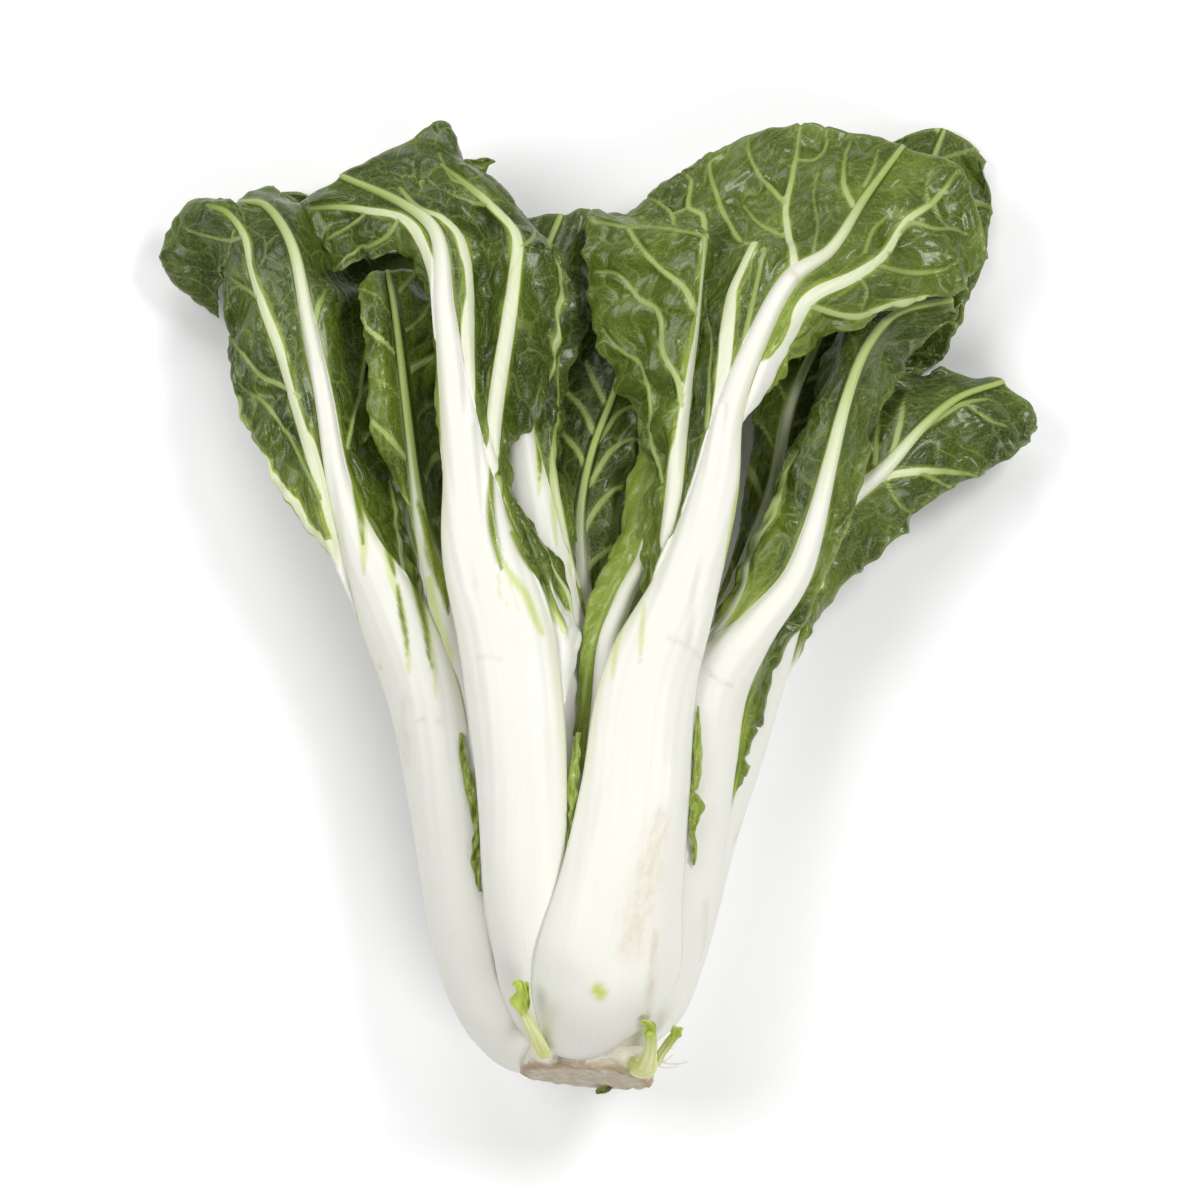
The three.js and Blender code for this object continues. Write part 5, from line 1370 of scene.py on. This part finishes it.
# Each shoot is a fleshy stalk (x, y, z, radius) that ends in small crumpled leaves
# (x, y, z, half-width).
SHOOTS = {
    "shoot_left": {
        "stalk": line(
            "-19.5 -163 64 2.9, -21.5 -158.5 71 2.5, -24.5 -152.5 78 2, -26.8 -148 82 1.6, "
            "-27.5 -145 84.5 1.4"),
        "leaves": [
            line("-26.6 -149 83 1.2, -27.6 -145.5 86 2.5, -27.2 -141.5 88 2.2, "
                 "-27.6 -138.8 88.5 1.5, -30 -138.6 87.5 0.6"),
            line("-26 -148.5 81.5 1, -25.5 -144.5 84.5 1.6, -25.6 -140.5 86.5 1.2, "
                 "-25 -138 87 0.5"),
        ],
    },
    "shoot_right": {
        "stalk": line(
            "11 -166 53 3.4, 15.5 -167 59 4.2, 16.8 -164.5 64 3, 17.6 -161 69 2.3, "
            "17.6 -157 74 2.2, 16.8 -154.5 77.5 1.8"),
        "leaves": [
            line("17.4 -156 76 1.4, 16.8 -153.6 79 1.9, 15.6 -152 80.5 1.2, "
                 "14.2 -151.9 80.5 0.5"),
            line("18 -156 75 1, 18.2 -153 78 1.2, 17.8 -151.6 79 0.4"),
        ],
    },
    "shoot_small": {
        "stalk": line(
            "13.5 -166 49 1.6, 19.5 -165.5 54 1.8, 21.5 -162.5 60 1.6, 24 -159 65 1.7, "
            "26.2 -156 70 1.5"),
        "leaves": [
            line("25.8 -157 70 1.2, 27.2 -154.6 73 1.6, 28.4 -153.6 74 0.5"),
            line("25.4 -157 69.5 0.9, 26 -154.4 72.5 1.1, 25.8 -153.2 73.5 0.4"),
        ],
    },
}
SHOOT_RINGS = 80
SHOOT_SIDES = 48


def tube_frame(route, share):
    """Points of a route at shares of its length, with the two directions across it."""
    route = np.array(route, float)
    u = share * (len(route) - 1)
    values = along(route, u)
    forward = unit((along(route, u + DIFFERENCE) - along(route, u - DIFFERENCE))[:, :3])
    across = unit(np.cross(forward, [0, 0, 1.0]))
    return values, across, np.cross(across, forward)


def tube(route, rings, sides, ridge=0.0):
    """Rings of points round a route (x, y, z, radius), with rounded ends."""
    share = np.linspace(0, 1, rings)
    values, across, up = tube_frame(route, share)
    angle = np.linspace(0, 2 * math.pi, sides, endpoint=False)[None, :]
    closing = np.sqrt(np.clip(1 - np.abs(2 * share - 1) ** 24, 0.01, 1))
    radius = (values[:, 3] * closing)[:, None] * (1 + ridge * np.sin(7 * angle))
    points = values[:, None, :3] + across[:, None] * (radius * np.sin(angle))[..., None]
    return points + up[:, None] * (radius * np.cos(angle))[..., None]


def add_shoot(name, shoot, seed, material):
    rings = tube(shoot["stalk"], SHOOT_RINGS, SHOOT_SIDES, ridge=0.07)
    rise = np.linspace(0, 1, SHOOT_RINGS)[:, None] + np.zeros((1, SHOOT_SIDES))
    turn = np.linspace(0, 1, SHOOT_SIDES)[None, :] + 0 * rise
    marks = {"leafy": smoothstep(0.5, 1.1, rise), "crest": rise * 0.5}
    uv = np.stack([turn * 12, rise * 22], axis=-1) / UV_UNIT
    finish_piece(closed_rings(name, rings, marks, uv), "shoot", material, name)
    for k, route in enumerate(shoot["leaves"]):
        points, q, far = ribbon(route, 0.9, 0.7, seed + 3 * k)
        marks = {"leafy": 0.85 + 0 * far * q, "crest": 0.2 + 0.8 * np.abs(q) + 0 * far}
        leaf = ribbon_mesh(f"{name}_leaf_{k + 1}", points, q, far, marks)
        finish_piece(leaf, "shoot", material)


def shoot_material():
    n = Nodes("shoot")
    uv = n.add("ShaderNodeTexCoord").outputs["UV"]
    leafy, crest = n.mark("leafy"), n.mark("crest")
    lines = n.streaks(uv, 90.0, 8.0)
    stalk = n.mix(n.ramp(lines, 0.35, 0.65), SHOOT_DARK, SHOOT_LIGHT)
    blade = n.mix(n.ramp(crest, 0.2, 0.9), LEAFLET, LEAFLET_EDGE)
    specks = n.noise(uv, 180.0, detail=2.0)
    blade = n.mix(n.ramp(specks, 0.62, 0.7, 0.0, 0.7), blade, LEAFLET_SPECK)
    n.colour(n.mix(leafy, stalk, blade))
    n.rough(0.42)
    n.shader.inputs["Subsurface Weight"].default_value = 0.15
    n.shader.inputs["Subsurface Scale"].default_value = 0.003
    n.bump(n.noise(uv, 260.0), 0.0004, 0.6)
    return n.material


# Fine roots at the stem's right rim (x, y, z, radius).
ROOTS = [
    line("13 -165 46 0.3, 19 -164.5 49 0.3, 24 -166 47 0.26, 29 -166 45 0.22, 31.5 -165 44 0.12"),
    line("14 -166 45 0.25, 20 -165 48 0.25, 23 -165 47 0.22, 26 -162.5 46 0.12"),
    line("13 -166 44 0.25, 18 -166 45 0.25, 23 -167.5 43 0.2, 28 -167 41 0.12"),
    line("13 -164 44 0.22, 19 -164 45 0.22, 24 -161 43 0.18, 27 -160.5 41 0.1"),
]
ROOT_RINGS = 30
ROOT_SIDES = 8


def add_roots():
    n = Nodes("root")
    shade = n.noise(n.add("ShaderNodeTexCoord").outputs["UV"], 40.0)
    n.colour(n.mix(shade, ROOT_DARK, ROOT_LIGHT))
    n.rough(0.6)
    for k, route in enumerate(ROOTS):
        rings = tube(route, ROOT_RINGS, ROOT_SIDES)
        root = closed_rings(f"root_{k + 1}", rings, {}, rings[..., :2] / UV_UNIT)
        finish_piece(root, "stem", n.material)


# Narrow crumpled edges of the inner leaves that show between the stalks, and a scrap of leaf
# stuck under the cut face. Each has its tone and its middle line (x, y, z, half-width).
LEAF_EDGES = {
    "leaf_edge_left": (1, line(
        "-49 -50 61 0.5, -48 -60 63 1.4, -45 -74 64.5 1.7, -43.5 -86 65 1.3, -44 -95 65 1.6, "
        "-42 -106 65 0.4")),
    "leaf_edge_right": (0.9, line(
        "34.5 -41.4 72 0.2, 34 -51 73 1.2, 33.7 -62 74 1.7, 33.3 -69 74.5 1.4, 32 -71.6 75 0.9, "
        "33.7 -76.7 75 2.9, 32.9 -82 75 1.6, 32.4 -85.7 75 0.9, 33.1 -91.8 74.5 1, "
        "32.8 -97.2 74 0.2")),
    "leaf_edge_middle": (1.1, line(
        "-7.4 -51 77 0.8, -8.5 -60 78 1.6, -9.4 -69 80 1.9, -9.6 -77 81.5 1.8, "
        "-10.1 -83.5 82.5 1, -11.3 -95 83 0.8, -13.2 -104.4 84 0.5")),
    "leaf_inner_tip": (0.05, line(
        "-76 98 21 7, -73 108 23 13, -70 120 25 14, -67 132 25 6")),
    "leaf_back_tip": (0.1, line(
        "-61 142 55 5, -56 147.5 47.5 6, -50 152.5 39.5 5.5, -45 157.5 36.5 4, "
        "-38.5 160.7 35 0.8")),
    "leaf_scrap": (0.1, line(
        "-1 -176.5 30 0.3, 0 -175.5 31 1.2, 2.5 -174.6 31 1.3, 4.5 -173.6 31 0.4")),
}
RIBBON_ROWS = 120
RIBBON_COLUMNS = 14
RIBBON_HALF_THICKNESS = 0.35
EDGE_VEIN = 0.35         # half-width of the vein along a narrow leaf edge


def ribbon(route, frill, cup, seed):
    """The middle surface of a narrow crumpled leaf: points, place across, length along."""
    share = np.linspace(0, 1, RIBBON_ROWS)
    values, across, up = tube_frame(route, share)
    q = np.linspace(-1, 1, RIBBON_COLUMNS)[None, :]
    length = np.linalg.norm(np.diff(values[:, :3], axis=0), axis=1).sum()
    far = (share * length)[:, None]
    half_width = values[:, 3:4] * (1 + 0.3 * waves(far, q * 2, 7, seed))
    lift = 0.5 * frill * waves(far, q * 4, 6, seed + 1) * (0.4 + np.abs(q))
    lift += cup * values[:, 3:4] * (q ** 2 - 0.5)
    points = values[:, None, :3] + across[:, None] * (half_width * q)[..., None]
    return points + up[:, None] * lift[..., None], q, far


def ribbon_mesh(name, points, q, far, marks):
    rise = np.gradient(points, axis=0)
    normals = unit(np.cross(np.gradient(points, axis=1), rise))
    thick = normals * (RIBBON_HALF_THICKNESS * np.sqrt(1.05 - q ** 2))[..., None]
    columns = np.broadcast_to(np.arange(RIBBON_COLUMNS), points.shape[:2])
    uv = np.stack([q * 2 + 0 * far, far + 0 * q], axis=-1) / UV_UNIT
    return shell(name, points + thick, points - thick, columns, marks, uv)


def add_leaf_edge(name, tone, route, seed):
    points, q, far = ribbon(route, 1.6, 0.0, seed)
    plain = 0 * q * far
    vein = q * 3 + 0.8 * waves(far, q, 8, seed + 2)
    marks = {"rib": -FAR, "rib_size": THINNEST_RIB, "vein": vein,
             "vein_near": np.abs(vein) - EDGE_VEIN, "vein_size": EDGE_VEIN, "flank": FAR,
             "stalk_reach": 0, "start": 0, "fresh": 0.7, "tone": tone, "stain": 0, "yellow_edge_shade": 0,
             "streak": 0, "bared": 0, "margin": np.exp(-((1 - np.abs(q)) / 0.2) ** 2)}
    marks = {mark: plain + value for mark, value in marks.items()}
    finish_piece(ribbon_mesh(name, points, q, far, marks), "leaf", LEAF_MATERIAL)


# ---- Floor and light -------------------------------------------------------------------------

WORLD_STRENGTH = 0.17
FLOOR_SIZE = 8           # metres
# Each light's name, its place and the size of its disc in metres, and its power in watts.
LIGHTS = [
    ("key", (0.7, 0.5, 1.1), 0.45, 8.2),
    ("left", (-0.8, 0.2, 1.0), 0.8, 8),
    ("front", (0.48, -0.8, 1.0), 0.8, 7.8),
    ("back", (-0.2, 1.0, 0.9), 0.6, 4),
]


def add_floor():
    bpy.ops.mesh.primitive_plane_add(size=FLOOR_SIZE, location=(0, 0, 0))
    floor = bpy.context.object
    floor.name = "floor"
    n = Nodes("floor")
    where = n.add("ShaderNodeTexCoord").outputs["Object"]
    shade = n.noise(where, 3.0, detail=2.0)
    n.colour(n.mix(shade, FLOOR_DARK, FLOOR_LIGHT))
    n.rough(0.9)
    n.shader.inputs["Specular IOR Level"].default_value = 0.1  # matt, like paper
    floor.data.materials.append(n.material)


def add_light(name, place, size, energy):
    data = bpy.data.lights.new(name, "AREA")
    data.shape = "DISK"
    data.size = size
    data.energy = energy
    light = bpy.data.objects.new(name, data)
    light.location = place
    aim = VIEW_TARGET - Vector(place)
    light.rotation_euler = aim.to_track_quat("-Z", "Y").to_euler()
    bpy.context.collection.objects.link(light)


def add_world(strength):
    world = bpy.data.worlds.new("studio")
    world.use_nodes = True
    world.node_tree.nodes["Background"].inputs["Color"].default_value = (1, 1, 1, 1)
    world.node_tree.nodes["Background"].inputs["Strength"].default_value = strength
    bpy.context.scene.world = world


# Each piece's random draws start from a seed of its own.
for order, (leaf_name, leaf_data) in enumerate(LEAVES.items()):
    add_leaf(leaf_name, leaf_data, 100 + 20 * order)

add_stem()
SHOOT_MATERIAL = shoot_material()
for order, (shoot_name, shoot) in enumerate(SHOOTS.items()):
    add_shoot(shoot_name, shoot, 600 + 20 * order, SHOOT_MATERIAL)
add_roots()
for order, (edge_name, (tone, route)) in enumerate(LEAF_EDGES.items()):
    add_leaf_edge(edge_name, tone, route, 700 + 10 * order)

add_floor()
add_world(WORLD_STRENGTH)
for light_name, light_place, light_size, light_energy in LIGHTS:
    add_light(light_name, light_place, light_size, light_energy)
bpy.context.scene.view_settings.view_transform = "Standard"
